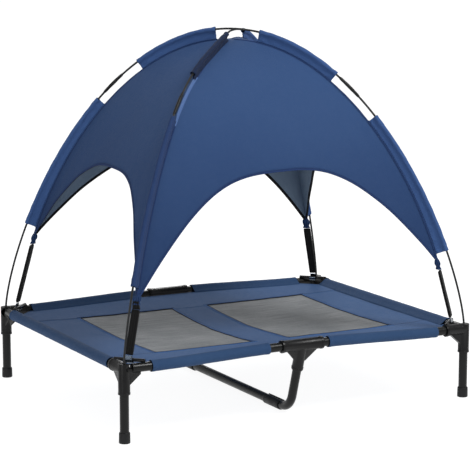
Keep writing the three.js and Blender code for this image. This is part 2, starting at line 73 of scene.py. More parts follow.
# ---- sizes of the bed, in metres --------------------------------------------------------------
leg_axis = middle("leg_tube_front_right")
LEG_X, LEG_Y = leg_axis.x, -leg_axis.y
RAIL_Z = middle("left_rail").z
POST_TOP = 182 * MM
POST_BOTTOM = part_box("corner_bracket_front_left")[0][2]
POST_R = 13.5 * MM
ARM_R = 14 * MM
ARM_LENGTH = 55 * MM
TUBE_R = 10.5 * MM
RAIL_BOW = 8 * MM
TEE_Z = RAIL_Z + RAIL_BOW
SOCKET_PLAY = 0.35 * MM
SOCKET_START = 18 * MM
LEG_SOCKET_TOP = 147 * MM
POLE_HOLE_R = 3.6 * MM
POLE_HOLE_BOTTOM = 155 * MM
BRACE_R = 4.2 * MM
BRACE_REACH = 52 * MM
BRACE_Z = 183 * MM
TEE_SLOPE = radians(18)
TEE_SOCKET_BOTTOM = 115 * MM
SUPPORT_BAR_Z = 12.8 * MM
SUPPORT_BEND_R = 50 * MM
PAD_R = 13 * MM
PAD_FROM = 190 * MM

SLEEVE_R = 12.3 * MM
SLEEVE_START = 75 * MM
TEE_CUTOUT = 82 * MM
TEE_CUT_DEPTH = 19 * MM
CUT_EASE = 2 * MM
DECK_X, DECK_Y = LEG_X - 11.4 * MM, LEG_Y - 11.4 * MM
DECK_Z = RAIL_Z - 2.5 * MM
DECK_SAG = 16 * MM
CORNER_CUT = 72 * MM
WINDOW_Y = 218 * MM
WINDOWS = {"mesh_left": (-308 * MM, -54 * MM), "mesh_right": (48 * MM, 328 * MM)}
HEM = 9 * MM

# ---- sizes of the canopy ----------------------------------------------------------------------
POLE_R = 2.5 * MM
POLE_S = hypot(LEG_X, LEG_Y)
POLE_END_Z = 158 * MM
POLES = {"over": (890 * MM, 1.45), "under": (884.2 * MM, 1.575)}
SEAM_S = 542 * MM
SEAM_APEX = 864 * MM
SEAM_FALL = {"over": 1.35, "under": 1.48}
TILT_FRONT, TILT_BACK = 19 * MM, 9 * MM
TILT_AT = radians(12)
FERRULE_MIDDLE = radians(30.4)
FERRULE_HALF = radians(2.65)
ARCH_MIDDLE = radians(47.9)
ARCH_POWER = 3.1
CANOPY_CLOTH = 0.9 * MM
LOOP_R = 5.0 * MM
KNOT_R = 4.5 * MM
KNOT_DROP = 9 * MM
STRAP_WIDTH = 18.5 * MM
STRAP_PLY = 2.9 * MM
HOOK_WIDTH = 17 * MM
HOOK_PLATE = 2 * MM
HOOK_RADIUS = 6.9 * MM
HOOK_TOP = 9 * MM
HOOK_WRAP = radians(215)


class Corner:
    """One corner of the bed: its signs, its pole, its two pole sleeves and its canopy tip."""

    def __init__(self, name, x, y, pole, upper, lower, tip):
        self.name, self.x, self.y, self.pole = name, x, y, pole
        self.upper = [v * MM for v in upper]
        self.lower = [v * MM for v in lower]
        self.tip = radians(tip)
        self.out = Vector((x * LEG_X, y * LEG_Y, 0)) / POLE_S
        self.across = UP.cross(self.out)
        self.post = Vector((x * LEG_X, y * LEG_Y, 0))

    def tilt(self, angle):
        """The under pole and its seams sit higher behind the crossing and lower in front of it."""
        part = angle / TILT_AT
        most = 0.0 if self.pole == "over" else TILT_BACK if self.y > 0 else -TILT_FRONT
        return most * part * exp((1 - part * part) / 2)

    def pole_point(self, angle):
        apex, fall = POLES[self.pole]
        rise = (apex - POST_TOP) * cos(angle) ** fall + self.tilt(angle)
        return self.out * (POLE_S * sin(angle)) + UP * (POST_TOP + rise)

    def seam_point(self, angle):
        rise = (SEAM_APEX - POST_TOP) * cos(angle) ** SEAM_FALL[self.pole] + self.tilt(angle)
        return self.out * (SEAM_S * sin(angle)) + UP * (POST_TOP + rise)

    def knot(self):
        return self.seam_point(self.tip) - UP * KNOT_DROP


CORNERS = [
    Corner("front_left", -1, -1, "under", (20, 213), (320, 529), 71.5),
    Corner("front_right", 1, -1, "over", (72, 260), (355, 532), 71.5),
    Corner("back_right", 1, 1, "under", (78, 240), (340, 524), 68.4),
    Corner("back_left", -1, 1, "over", (36, 230), (330, 518), 68.4),
]
PANELS = {"front": (0, 1), "right": (1, 2), "back": (2, 3), "left": (3, 0)}

# ---- camera -----------------------------------------------------------------------------------
CAMERA_AT = (-2.2553, -4.2850, 1.1967)
CAMERA_YAW = radians(27.9)
CAMERA_PITCH = radians(9.54)
camera_data = bpy.data.cameras.new("camera")
camera_data.sensor_width = 36
camera_data.lens = 152.65
camera = placed("camera", camera_data)
camera.location = CAMERA_AT
camera.rotation_euler = (pi / 2 - CAMERA_PITCH, 0, -CAMERA_YAW)
bpy.context.scene.camera = camera


# ---- materials --------------------------------------------------------------------------------
class Finish:
    """A material in the making: its nodes, joined by short calls."""

    def __init__(self, name, roughness, metallic=0.0, **sockets):
        self.material = bpy.data.materials.new(name)
        self.material.use_nodes = True
        self.tree = self.material.node_tree
        self.shader = self.tree.nodes["Principled BSDF"]
        self.shader.inputs["Roughness"].default_value = roughness
        self.shader.inputs["Metallic"].default_value = metallic
        for label, value in sockets.items():
            self.shader.inputs[label.replace("_", " ").title().replace("Ior", "IOR")].default_value = value

    def give(self, socket, value):
        """Joins another node's output to the socket, or sets a constant on it."""
        if isinstance(value, bpy.types.NodeSocket):
            self.tree.links.new(value, socket)
        else:
            socket.default_value = value

    def node(self, kind, settings=(), **inputs):
        made = self.tree.nodes.new("ShaderNode" + kind)
        for key, value in dict(settings).items():
            setattr(made, key, value)
        for key, value in inputs.items():
            socket = made.inputs[int(key[1:])] if key[0] == "i" and key[1:].isdigit() else made.inputs[key]
            self.give(socket, value)
        return made

    def maths(self, operation, a, b=0.0):
        return self.node("Math", {"operation": operation}, i0=a, i1=b).outputs[0]

    def place(self, source="Object", scale=(1, 1, 1)):
        where = self.node("TexCoord").outputs[source]
        return self.node("Mapping", {}, i0=where, Scale=scale).outputs[0]

    def noise(self, vector, scale, detail=3.0):
        return self.node("TexNoise", {}, Vector=vector, Scale=scale, Detail=detail).outputs[0]

    def spread(self, value, low, high):
        """value, from 0.3 to 0.7, stretched to run from low to high."""
        ranged = self.node("MapRange", {"clamp": True}, i0=value, i1=0.3, i2=0.7, i3=low, i4=high)
        return ranged.outputs[0]

    def mix(self, factor, a, b, blend="MIX"):
        made = self.tree.nodes.new("ShaderNodeMix")
        made.data_type = "RGBA"
        made.blend_type = blend
        for socket, value in ((made.inputs[0], factor), (made.inputs[6], a), (made.inputs[7], b)):
            self.give(socket, value)
        return made.outputs[2]

    def colour(self, value):
        self.tree.links.new(value, self.shader.inputs["Base Color"])

    def rough(self, value):
        self.tree.links.new(value, self.shader.inputs["Roughness"])

    def bump(self, *layers):
        """Each layer is a height and a depth in metres."""
        normal = None
        for height, distance in layers:
            made = self.node("Bump", {}, Height=height, Distance=distance, Strength=1.0)
            if normal is not None:
                self.tree.links.new(normal, made.inputs["Normal"])
            normal = made.outputs[0]
        self.tree.links.new(normal, self.shader.inputs["Normal"])


def rgb(r, g, b):
    """A colour from screen values, 0 to 255."""
    def linear(c):
        c /= 255
        return c / 12.92 if c <= 0.04045 else ((c + 0.055) / 1.055) ** 2.4
    return (linear(r), linear(g), linear(b), 1.0)


def cloth_turns(finish, across, along):
    """The cloth's own coordinates, in metres, as two angles that turn once a pitch."""
    split = finish.node("SeparateXYZ", {}, i0=finish.place("UV", (2 * pi / across, 2 * pi / along, 1)))
    return split.outputs[:2]


def woven(name, shade, thread, pitch=1.1 * MM, roughness=0.82, sheen=0.03, depth=0.10 * MM, painted_light_by_height=False):
    """Woven polyester: weave, slubs along the threads, slow changes of tone, and optionally painted light
    high up and painted shade low down.
    """
    f = Finish(name, roughness, sheen_weight=sheen, sheen_roughness=0.5, specular_ior_level=0.15)
    weave = f.maths("MULTIPLY", *(f.maths("SINE", turn) for turn in cloth_turns(f, pitch, pitch)))
    body = f.place("Object")
    tone = f.spread(f.noise(body, 5.0), 0.0, 1.0)
    slub = f.spread(f.noise(f.place("UV", (40, 900, 1)), 1.0, 2.0), 0.0, 1.0)
    base = f.mix(f.maths("MULTIPLY", tone, 0.35), shade, thread)
    base = f.mix(f.maths("MULTIPLY", slub, 0.22), base, thread)
    lit = f.maths("MULTIPLY_ADD", weave, 0.5)
    lit.node.inputs[2].default_value = 0.5
    base = f.mix(f.maths("MULTIPLY", lit, 0.25), base, thread)
    # Painted light and shade: the cloth turns paler towards the canopy's top and darker towards its low
    # tips. deep is the painted shade, pale the painted light.
    if painted_light_by_height:
        height = f.node("SeparateXYZ", {}, i0=body).outputs[2]
        painted_top_light = f.node("MapRange", {"clamp": True, "interpolation_type": "SMOOTHSTEP"},
                     i0=height, i1=0.26, i2=0.86, i3=0.0, i4=1.0).outputs[0]
        deep = f.mix(1.0, base, (0.66, 0.68, 0.72, 1.0), "MULTIPLY")
        pale = f.mix(0.28, base, rgb(62, 90, 132))
        base = f.mix(painted_top_light, deep, pale)
    f.colour(base)
    creases = f.noise(body, 38.0, 4.0)
    f.rough(f.spread(f.noise(body, 90.0), roughness - 0.06, roughness + 0.06))
    f.bump((creases, 0.3 * MM), (weave, depth))
    return f.material


def coated(name, shade, roughness, grain, patches, lift, gloss):
    """Moulded plastic or powder coat: fine grain, slow patches of tone, and small differences of gloss."""
    f = Finish(name, roughness, specular_ior_level=0.22)
    body = f.place("Object")
    paler = (*(c * lift for c in shade[:3]), 1.0)
    f.colour(f.mix(f.spread(f.noise(body, patches), 0.0, 0.5), shade, paler))
    scale, less, more = gloss
    f.rough(f.spread(f.noise(body, scale), roughness - less, roughness + more))
    f.bump((f.noise(body, grain, 2.0), 0.10 * MM))
    return f.material


SPARK_ERODED = (1400.0, 25.0, 1.7, (60.0, 0.08, 0.1))
ORANGE_PEEL = (420.0, 14.0, 1.8, (45.0, 0.07, 0.09))


def vent_mesh(name):
    """Coated ventilation mesh: pale crossing threads, dark open cells, and faint drawn threads."""
    f = Finish(name, 0.7, specular_ior_level=0.35)
    threads = (f.maths("ABSOLUTE", f.maths("SINE", turn)) for turn in cloth_turns(f, 2.4 * MM, 1.6 * MM))
    cell = f.maths("MULTIPLY", *threads)
    streaks = f.spread(f.noise(f.place("UV", (9, 260, 1)), 1.0, 3.0), 0.0, 1.0)
    clouds = f.spread(f.noise(f.place("Object"), 9.0, 3.0), 0.0, 1.0)
    threads = f.mix(streaks, rgb(104, 108, 112), rgb(150, 152, 153))
    threads = f.mix(f.maths("MULTIPLY", clouds, 0.55), threads, rgb(88, 94, 99))
    f.colour(f.mix(f.spread(cell, 0.0, 0.42), threads, rgb(48, 51, 54)))
    f.bump((cell, -0.35 * MM), (streaks, 0.12 * MM))
    return f.material


def webbing(name):
    """Black strap webbing: ribs across the strap and a herringbone along it."""
    f = Finish(name, 0.8, sheen_weight=0.04, specular_ior_level=0.15)
    warp, weft = cloth_turns(f, 2.2 * MM, 1.5 * MM)
    rib = f.maths("SINE", weft)
    cord = f.maths("SINE", f.maths("ADD", warp, f.maths("MULTIPLY", rib, 0.9)))
    height = f.maths("ADD", rib, cord)
    f.colour(f.mix(f.spread(height, 0.0, 0.7), rgb(9, 9, 10), rgb(26, 27, 28)))
    f.bump((height, 0.12 * MM))
    return f.material


def plated(name):
    """Bright plated steel with fine scratches."""
    f = Finish(name, 0.3, metallic=1.0)
    body = f.place("Object", (300, 300, 2600))
    f.colour(f.mix(f.spread(f.noise(body, 1.0), 0.0, 1.0), rgb(84, 94, 106), rgb(54, 62, 72)))
    f.rough(f.spread(f.noise(f.place("Object"), 160.0), 0.14, 0.34))
    f.bump((f.noise(body, 1.0), 0.02 * MM))
    return f.material


CANOPY_OUT = woven("canopy_cloth_outside", rgb(31, 56, 98), rgb(46, 72, 112), painted_light_by_height=True)
CANOPY_IN = woven("canopy_cloth_coated_inside", rgb(92, 110, 132), rgb(124, 140, 156),
                  roughness=0.5, sheen=0.0)
SEAM_CLOTH = woven("canopy_seam_facing", rgb(24, 44, 84), rgb(36, 58, 100))
SEAM_PALE = woven("seam_allowance_pale", rgb(66, 92, 138), rgb(88, 114, 160))
SLEEVE_CLOTH = woven("pole_sleeve_cloth", rgb(46, 72, 118), rgb(62, 90, 138))
# The next two are darker copies of the sleeve cloth: painted shade for the front_left corner's sleeves,
# darkest on the upper one.
SLEEVE_PAINTED_DEEP_SHADE = woven("pole_sleeve_cloth_dark", rgb(15, 27, 52), rgb(24, 40, 70))
SLEEVE_PAINTED_SHADE = woven("pole_sleeve_cloth_shade", rgb(27, 46, 84), rgb(38, 60, 100))
BORDER_CLOTH = woven("bed_border_cloth", rgb(44, 72, 112), rgb(66, 94, 134), pitch=1.3 * MM)
# A paler copy of the border cloth: painted highlight on the hems round the windows.
HEM_PAINTED_HIGHLIGHT = woven("bed_hem_painted_highlight", rgb(50, 84, 134), rgb(78, 112, 160), pitch=1.3 * MM)
# A darker copy of the border cloth: painted shade on the rail sleeves.
RAIL_CLOTH_PAINTED_SHADE = woven("rail_sleeve_cloth", rgb(34, 58, 92), rgb(50, 76, 110), pitch=1.3 * MM)
BINDING_OUT = woven("binding_outside", rgb(24, 44, 84), rgb(36, 58, 100), pitch=1.0 * MM)
# The dark binding colour also serves as the painted shadow cords round the windows.
BINDING_IN_AND_WINDOW_SHADOW = woven("binding_inside", rgb(12, 13, 16), rgb(22, 24, 28), pitch=1.0 * MM)
VENT_MESH = vent_mesh("ventilation_mesh")
PLASTIC = coated("bracket_plastic", rgb(12, 12, 13), 0.3, *SPARK_ERODED)
FOOT_PLASTIC = coated("foot_plastic", rgb(20, 21, 22), 0.46, *SPARK_ERODED)
TUBE_PAINT = coated("tube_powder_coat", rgb(12, 13, 13), 0.28, *ORANGE_PEEL)
POLE_PAINT = coated("pole_coating", rgb(28, 29, 30), 0.4, *ORANGE_PEEL)
FERRULE_BLACK = coated("ferrule_black", rgb(14, 15, 15), 0.4, *SPARK_ERODED)
WEBBING = webbing("strap_webbing")
PLATED = plated("hook_plating")
THREAD = woven("sewing_thread", rgb(16, 28, 58), rgb(28, 44, 78), pitch=0.6 * MM)
STRAP_THREAD = woven("strap_thread", rgb(30, 31, 33), rgb(48, 50, 53), pitch=0.6 * MM)


# ---- shapes -----------------------------------------------------------------------------------
class Shape:
    """Points, faces and cloth coordinates of a piece while it is being built."""

    def __init__(self):
        self.points, self.faces, self.uvs, self.marks = [], [], [], []

    def rows(self, rows, wrap=False, uv=None, mark=0, flip=False):
        """A skin through rows of points. uv gives a point's cloth coordinates from its row and column."""
        start, width = len(self.points), len(rows[0])
        for row in rows:
            self.points.extend(row)
        for i in range(len(rows) - 1):
            for j in range(width if wrap else width - 1):
                k = (j + 1) % width
                ring = [(i, j, j), (i, k, j + 1), (i + 1, k, j + 1), (i + 1, j, j)]
                if flip:
                    ring.reverse()
                self.faces.append([start + r * width + c for r, c, _ in ring])
                self.uvs.append([uv(r, c) if uv else (0.0, 0.0) for r, _, c in ring])
                self.marks.append(mark(i, j) if callable(mark) else mark)
        return start

    def closed(self, rows, uv=None, mark=0, flip=False):
        """Rows that run round, with both ends capped."""
        start, width = self.rows(rows, True, uv, mark, flip), len(rows[0])
        for first, turned_over in ((start, not flip), (start + width * (len(rows) - 1), flip)):
            face = list(range(first, first + width))
            self.faces.append(face[::-1] if turned_over else face)
            self.uvs.append([(0.0, 0.0)] * width)
            self.marks.append(0)
        return self

    def object(self, name, materials, crease=35, weld=0.0):
        mesh = bpy.data.meshes.new(name)
        mesh.from_pydata([tuple(p) for p in self.points], [], self.faces)
        layer = mesh.uv_layers.new(name="cloth")
        layer.data.foreach_set("uv", [c for face in self.uvs for uv in face for c in uv])
        mesh.polygons.foreach_set("material_index", self.marks)
        for material in materials:
            mesh.materials.append(material)
        if weld:
            work = bmesh.new()
            work.from_mesh(mesh)
            bmesh.ops.remove_doubles(work, verts=work.verts, dist=weld)
            bmesh.ops.dissolve_degenerate(work, edges=work.edges, dist=weld / 2)
            work.to_mesh(mesh)
            work.free()
        return link(name, mesh, crease)


def link(name, mesh, crease=35):
    mesh.shade_smooth()
    mesh.set_sharp_from_angle(angle=radians(crease))
    return placed(name, mesh)


def directions_of(path):
    """Direction at each point of a path."""
    directions = []
    for i, at in enumerate(path):
        ahead = Vector((0, 0, 0))
        if i + 1 < len(path):
            ahead += (path[i + 1] - at).normalized()
        if i > 0:
            ahead += (at - path[i - 1]).normalized()
        directions.append(ahead.normalized())
    return directions


def carried(path, across, section):
    """Rows of a section carried along a path. section(i) gives points along across and to its left."""
    rows = []
    for i, (at, ahead) in enumerate(zip(path, directions_of(path))):
        side = ahead.cross(across).normalized()
        rows.append([at + across * x + side * y for x, y in section(i)])
    return rows


def circle(radius, sides):
    turns = [2 * pi * (i + 0.5) / sides for i in range(sides)]
    return [(radius * cos(t), radius * sin(t)) for t in turns]


def square_to(direction):
    other = Vector((1, 0, 0)) if abs(direction.z) > 0.9 else UP
    return other.cross(direction).normalized()


def rod(path, across, radius, sides=40, rounding=0.8 * MM):
    """A round bar along a path, its two ends rounded over."""
    first, last = (path[1] - path[0]).normalized(), (path[-1] - path[-2]).normalized()
    turns = (pi / 8 * i for i in range(4))
    arc = [(rounding * (1 - cos(a)), radius - rounding * (1 - sin(a))) for a in turns]
    head = [(path[0] + first * d, r) for d, r in arc]
    tail = [(path[-1] - last * d, r) for d, r in arc[::-1]]
    body = [(p, radius) for p in path]
    body[0] = (path[0] + first * rounding, radius)
    body[-1] = (path[-1] - last * rounding, radius)
    stations = head + body + tail
    rows = carried([p for p, _ in stations], across, lambda i: circle(stations[i][1], sides))
    shape = Shape()
    lengths = [(p - path[0]).length for p, _ in stations]
    return shape.closed(rows, lambda i, j: (2 * pi * radius * j / sides, lengths[i]))


def bar(a, b, radius, sides=40, rounding=0.4 * MM):
    return rod([a, b], square_to((b - a).normalized()), radius, sides, rounding)


def turned(profile, sides=48):
    """A turned solid from its profile, radius and height, from the axis at the bottom to the axis."""
    shape = Shape()
    rows = [[Vector((*p, z)) for p in circle(max(r, 1e-6), sides)] for r, z in profile]
    shape.rows(rows, wrap=True, uv=lambda i, j: (0.08 * j / sides, profile[i][1]))
    return shape


def plate(outline, thickness, slope=0.0):
    """A flat web whose outline lies in the X-Z plane, its thickness along Y."""
    shape = Shape()
    rows = [[Vector((x, side * thickness / 2, z)) for x, z in outline] for side in (1, -1)]
    shape.closed(rows)
    turn = Matrix.Rotation(slope, 3, "X")
    shape.points = [turn @ p for p in shape.points]
    return shape


def baked(piece):
    """The piece's mesh with its modifiers applied, and no modifiers left on it."""
    depsgraph = bpy.context.evaluated_depsgraph_get()
    mesh = bpy.data.meshes.new_from_object(piece.evaluated_get(depsgraph))
    mesh.name = piece.name
    piece.modifiers.clear()
    piece.data = mesh
    return piece


def carpentry(name, add, cut, material, bevel=0.7 * MM):
    """Solids joined, then cut, then their edges rounded."""
    body = add[0].object(name, [material], weld=1e-6)
    tools = []
    for operation, shapes in (("UNION", add[1:]), ("DIFFERENCE", cut)):
        for shape in shapes:
            tool = shape.object(name + "_tool", [material], weld=1e-6)
            tools.append(tool)
            step = body.modifiers.new("join", "BOOLEAN")
            step.operation, step.object, step.solver = operation, tool, "EXACT"
    rounder = body.modifiers.new("edges", "BEVEL")
    rounder.width, rounder.segments = bevel, 2
    rounder.limit_method, rounder.angle_limit = "ANGLE", radians(38)
    baked(body)
    for tool in tools:
        bpy.data.objects.remove(tool)
    body.data.shade_smooth()
    body.data.set_sharp_from_angle(angle=radians(42))
    return body


def copy_at(piece, name, matrix):
    mesh = piece.data.copy()
    mesh.name = name
    mesh.transform(matrix)
    return placed(name, mesh)


def finished(piece, body, slot, *nodes):
    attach(piece, body)
    if nodes:
        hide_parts(*nodes)
    return piece


def thicken(piece, thickness, offset=-1.0, inner=0):
    wall = piece.modifiers.new("thickness", "SOLIDIFY")
    wall.thickness, wall.offset = thickness, offset
    wall.material_offset = inner
    wall.use_even_offset = True
    return baked(piece)


# ---- stitches ---------------------------------------------------------------------------------
STITCH_PITCH = 5.5 * MM
STITCH_COVER = 0.62
THREAD_SIDES = 6


def stitch_tree():
    """Geometry Nodes: a stitch lies at every pitch of the curve it is given, along the curve."""
    tree = bpy.data.node_groups.new("stitch_row", "GeometryNodeTree")
    face = tree.interface
    face.new_socket("Geometry", in_out="INPUT", socket_type="NodeSocketGeometry")
    for label in ("Pitch", "Length", "Radius"):
        face.new_socket(label, in_out="INPUT", socket_type="NodeSocketFloat")
    face.new_socket("Thread", in_out="INPUT", socket_type="NodeSocketMaterial")
    face.new_socket("Geometry", in_out="OUTPUT", socket_type="NodeSocketGeometry")
    nodes = tree.nodes
    given, out = nodes.new("NodeGroupInput"), nodes.new("NodeGroupOutput")
    spaced = nodes.new("GeometryNodeResampleCurve")
    spaced.mode = "LENGTH"
    spots = nodes.new("GeometryNodeCurveToPoints")
    spots.mode = "EVALUATED"
    turn = nodes.new("FunctionNodeAlignRotationToVector")
    turn.axis = "Z"
    thread = nodes.new("GeometryNodeMeshCylinder")
    thread.inputs["Vertices"].default_value = THREAD_SIDES
    rounded = nodes.new("GeometryNodeSetShadeSmooth")
    laid = nodes.new("GeometryNodeInstanceOnPoints")
    real = nodes.new("GeometryNodeRealizeInstances")
    dye = nodes.new("GeometryNodeSetMaterial")
    for source, output, target, socket in (
            (given, "Geometry", spaced, "Curve"), (given, "Pitch", spaced, "Length"),
            (spaced, 0, spots, 0), (spots, "Points", laid, "Points"),
            (spots, "Tangent", turn, "Vector"), (turn, 0, laid, "Rotation"),
            (given, "Radius", thread, "Radius"), (given, "Length", thread, "Depth"),
            (thread, "Mesh", rounded, 0), (rounded, 0, laid, "Instance"), (laid, 0, real, 0),
            (real, 0, dye, 0), (given, "Thread", dye, "Material"), (dye, 0, out, 0)):
        tree.links.new(source.outputs[output], target.inputs[socket])
    return tree


def sew(name, lines, body, slot, material, radius=0.45 * MM):
    """Rows of stitches along lines of points, as one plain mesh."""
    curve = bpy.data.curves.new(name, "CURVE")
    curve.dimensions = "3D"
    for line in lines:
        spline = curve.splines.new("POLY")
        spline.points.add(len(line) - 1)
        for point, at in zip(spline.points, line):
            point.co = (*at, 1.0)
    drawn = placed(name + "_line", curve)
    tree = stitch_tree()
    step = drawn.modifiers.new("stitches", "NODES")
    step.node_group = tree
    values = {"Pitch": STITCH_PITCH, "Length": STITCH_PITCH * STITCH_COVER, "Radius": radius,
              "Thread": material}
    for item in tree.interface.items_tree:
        if item.in_out == "INPUT" and item.name in values:
            step[item.identifier] = values[item.name]
    depsgraph = bpy.context.evaluated_depsgraph_get()
    mesh = bpy.data.meshes.new_from_object(drawn.evaluated_get(depsgraph))
    bpy.data.objects.remove(drawn)
    return finished(placed(name, mesh), body, slot)


def lines(stops, pitch):
    """Grid lines through every stop, no further apart than pitch."""
    made = []
    for a, b in zip(stops, stops[1:]):
        count = max(1, ceil((b - a) / pitch - 1e-6))
        made += [a + (b - a) * i / count for i in range(count)]
    return made + [stops[-1]]


def rail_z(x):
    """Height of a long rail's axis: level in its sockets, rising from the corner to the tee."""
    return TEE_Z - RAIL_BOW * smooth(abs(x), ARM_LENGTH, LEG_X - ARM_LENGTH)


# ---- frame: brackets, tubes and feet ----------------------------------------------------------
SOCKET_R = TUBE_R + SOCKET_PLAY
RING_LENGTH, RING_RISE = 6 * MM, 1 * MM
GUSSET = [(5 * MM, 128 * MM), (12 * MM, 134 * MM), (38 * MM, 156 * MM), (38 * MM, RAIL_Z), (5 * MM, RAIL_Z)]
GUSSET_THICKNESS = 15 * MM
TEE_WEB = [(x * MM, z * MM) for x, z in ((-13, -40), (13, -40), (42, -9), (-42, -9))]
TEE_WEB_THICKNESS = 16 * MM
TEE_WALL = 4 * MM
PAST = 35 * MM
TUBE_ROUNDING = 0.4 * MM


def hole(a, b, radius=SOCKET_R, sides=40):
    return bar(a, b, radius, sides, 0.01 * MM)


def corner_bracket():
    """The corner's own frame has the post's axis on Z and the bed's inside towards +X and +Y."""
    lip, step = POST_R + 0.6 * MM, POST_BOTTOM + 4 * MM
    add = [turned([(0, POST_BOTTOM), (lip, POST_BOTTOM), (lip, step), (POST_R, step + 0.4 * MM),
                   (POST_R, POST_TOP), (0, POST_TOP)])]
    cut = [hole(UP * (POST_BOTTOM - PAST), UP * LEG_SOCKET_TOP),
           hole(UP * POLE_HOLE_BOTTOM, UP * (POST_TOP + PAST), POLE_HOLE_R, 24)]
    for direction in (RIGHT, BACK):
        at, end = UP * RAIL_Z, UP * RAIL_Z + direction * ARM_LENGTH
        add += [bar(at, end, ARM_R), bar(end - direction * RING_LENGTH, end, ARM_R + RING_RISE)]
        cut.append(hole(at + direction * SOCKET_START, end + direction * PAST))
    for turn in (0, pi / 2):
        gusset = plate(GUSSET, GUSSET_THICKNESS)
        gusset.points = [Matrix.Rotation(turn, 3, "Z") @ p for p in gusset.points]
        add.append(gusset)
    add.append(bar(Vector((BRACE_REACH, 0, BRACE_Z)), Vector((0, BRACE_REACH, BRACE_Z)), BRACE_R, 24))
    return carpentry("corner_bracket", add, cut, PLASTIC)


def tee_bracket():
    """The tee's own frame has the rail's axis along X and the bed's inside towards +Y."""
    down = Vector((0, sin(TEE_SLOPE), -cos(TEE_SLOPE)))
    reach = (TEE_Z - TEE_SOCKET_BOTTOM) / cos(TEE_SLOPE)
    add = [bar(RIGHT * -ARM_LENGTH, RIGHT * ARM_LENGTH, ARM_R)]
    cut = [hole(down * 16 * MM, down * (reach + PAST))]
    for outwards in (-RIGHT, RIGHT):
        end = outwards * ARM_LENGTH
        add.append(bar(end - outwards * RING_LENGTH, end, ARM_R + RING_RISE))
        cut.append(hole(outwards * TEE_WALL, end + outwards * PAST))
    add += [bar(down * 0, down * reach, POST_R),
            bar(down * (reach - 7 * MM), down * (reach - 1.5 * MM), POST_R + 0.8 * MM),
            plate(TEE_WEB, TEE_WEB_THICKNESS, TEE_SLOPE)]
    return carpentry("tee_bracket", add, cut, PLASTIC)


QUARTER = {"front_left": 0, "front_right": 1, "back_right": 2, "back_left": 3}
bracket_master = corner_bracket()
for corner in CORNERS:
    turn = Matrix.Translation(corner.post) @ Matrix.Rotation(QUARTER[corner.name] * pi / 2, 4, "Z")
    bracket = copy_at(bracket_master, "bracket_" + corner.name, turn)
    finished(bracket, "bed", "bracket_plastic", "corner_bracket_" + corner.name)
bpy.data.objects.remove(bracket_master)
tee_master = tee_bracket()
for side, turn in (("front", 0), ("back", pi)):
    away = Vector((0, -LEG_Y if side == "front" else LEG_Y, TEE_Z))
    tee = copy_at(tee_master, "tee_" + side, Matrix.Translation(away) @ Matrix.Rotation(turn, 4, "Z"))
    finished(tee, "bed", "bracket_plastic", "tee_bracket_" + side)
bpy.data.objects.remove(tee_master)

LEG_ENDS = 2.6 * MM, 146.5 * MM
RAIL_JOIN = 4.5 * MM
FOOT_PROFILE = [(0, 0), (11.6, 0), (12.5, 0.35), (13, 1.3), (13, 5), (12.95, 9), (12.7, 22.6), (12.3, 23.8),
                (11.7, 24.5), (10.85, 24.5), (10.85, 2.2), (0, 2.2)]
for corner in CORNERS:
    leg = rod([corner.post + UP * z for z in LEG_ENDS], RIGHT, TUBE_R)
    finished(leg.object("leg_" + corner.name, [TUBE_PAINT]), "bed", "frame_tube", "leg_tube_" + corner.name)
    cap = turned([(r * MM, z * MM) for r, z in FOOT_PROFILE])
    cap.points = [p + corner.post for p in cap.points]
    finished(cap.object("foot_" + corner.name, [FOOT_PLASTIC]), "bed", "foot_plastic",
             "foot_cap_" + corner.name)

RAIL_END = SOCKET_START + 0.5 * MM
for side, y in (("front", -LEG_Y), ("back", LEG_Y)):
    for half, x in (("left", -1), ("right", 1)):
        ends = sorted([x * RAIL_JOIN, x * (LEG_X - RAIL_END)])
        path = [Vector((at, y, rail_z(at))) for at in lines(ends, 12 * MM)]
        tube = rod(path, BACK, TUBE_R, rounding=TUBE_ROUNDING)
        node = f"{side}_rail_{half}"
        finished(tube.object("tube_" + node, [TUBE_PAINT]), "bed", "frame_tube", node)
for side, x in (("left", -LEG_X), ("right", LEG_X)):
    tube = bar(Vector((x, RAIL_END - LEG_Y, RAIL_Z)), Vector((x, LEG_Y - RAIL_END, RAIL_Z)), TUBE_R)
    finished(tube.object(f"tube_{side}_rail", [TUBE_PAINT]), "bed", "frame_tube", side + "_rail")

lean = pi / 2 - TEE_SLOPE
support_foot = -LEG_Y + (TEE_Z - SUPPORT_BAR_Z) * tan(TEE_SLOPE)
bar_start = support_foot + SUPPORT_BEND_R * tan(lean / 2)
SUPPORT_TOP, BEND_STEPS = 17.5 * MM, 16
support_half = [Vector((0, -LEG_Y + SUPPORT_TOP * sin(TEE_SLOPE), TEE_Z - SUPPORT_TOP * cos(TEE_SLOPE)))]
for i in range(BEND_STEPS + 1):
    angle = lean * (1 - i / BEND_STEPS)
    support_half.append(Vector((0, bar_start - SUPPORT_BEND_R * sin(angle),
                                SUPPORT_BAR_Z + SUPPORT_BEND_R * (1 - cos(angle)))))
support_path = support_half + [Vector((0, -p.y, p.z)) for p in support_half[::-1]]
support = rod(support_path, RIGHT, TUBE_R)
finished(support.object("support_bar", [TUBE_PAINT]), "bed", "frame_tube", "centre_support")


# How far along a pad, and how far in from its round outside, in millimetres.
PAD_PROFILE = [(0, 0.8), (0.3, 0.25), (1.0, 0), (7, 0), (7.6, 0.45), (8.4, 0.45), (9, 0),
               (63, 0), (63.6, 0.45), (64.4, 0.45), (65, 0), (71, 0), (71.7, 0.25), (72, 0.8)]
PAD_OPENING = radians(50)


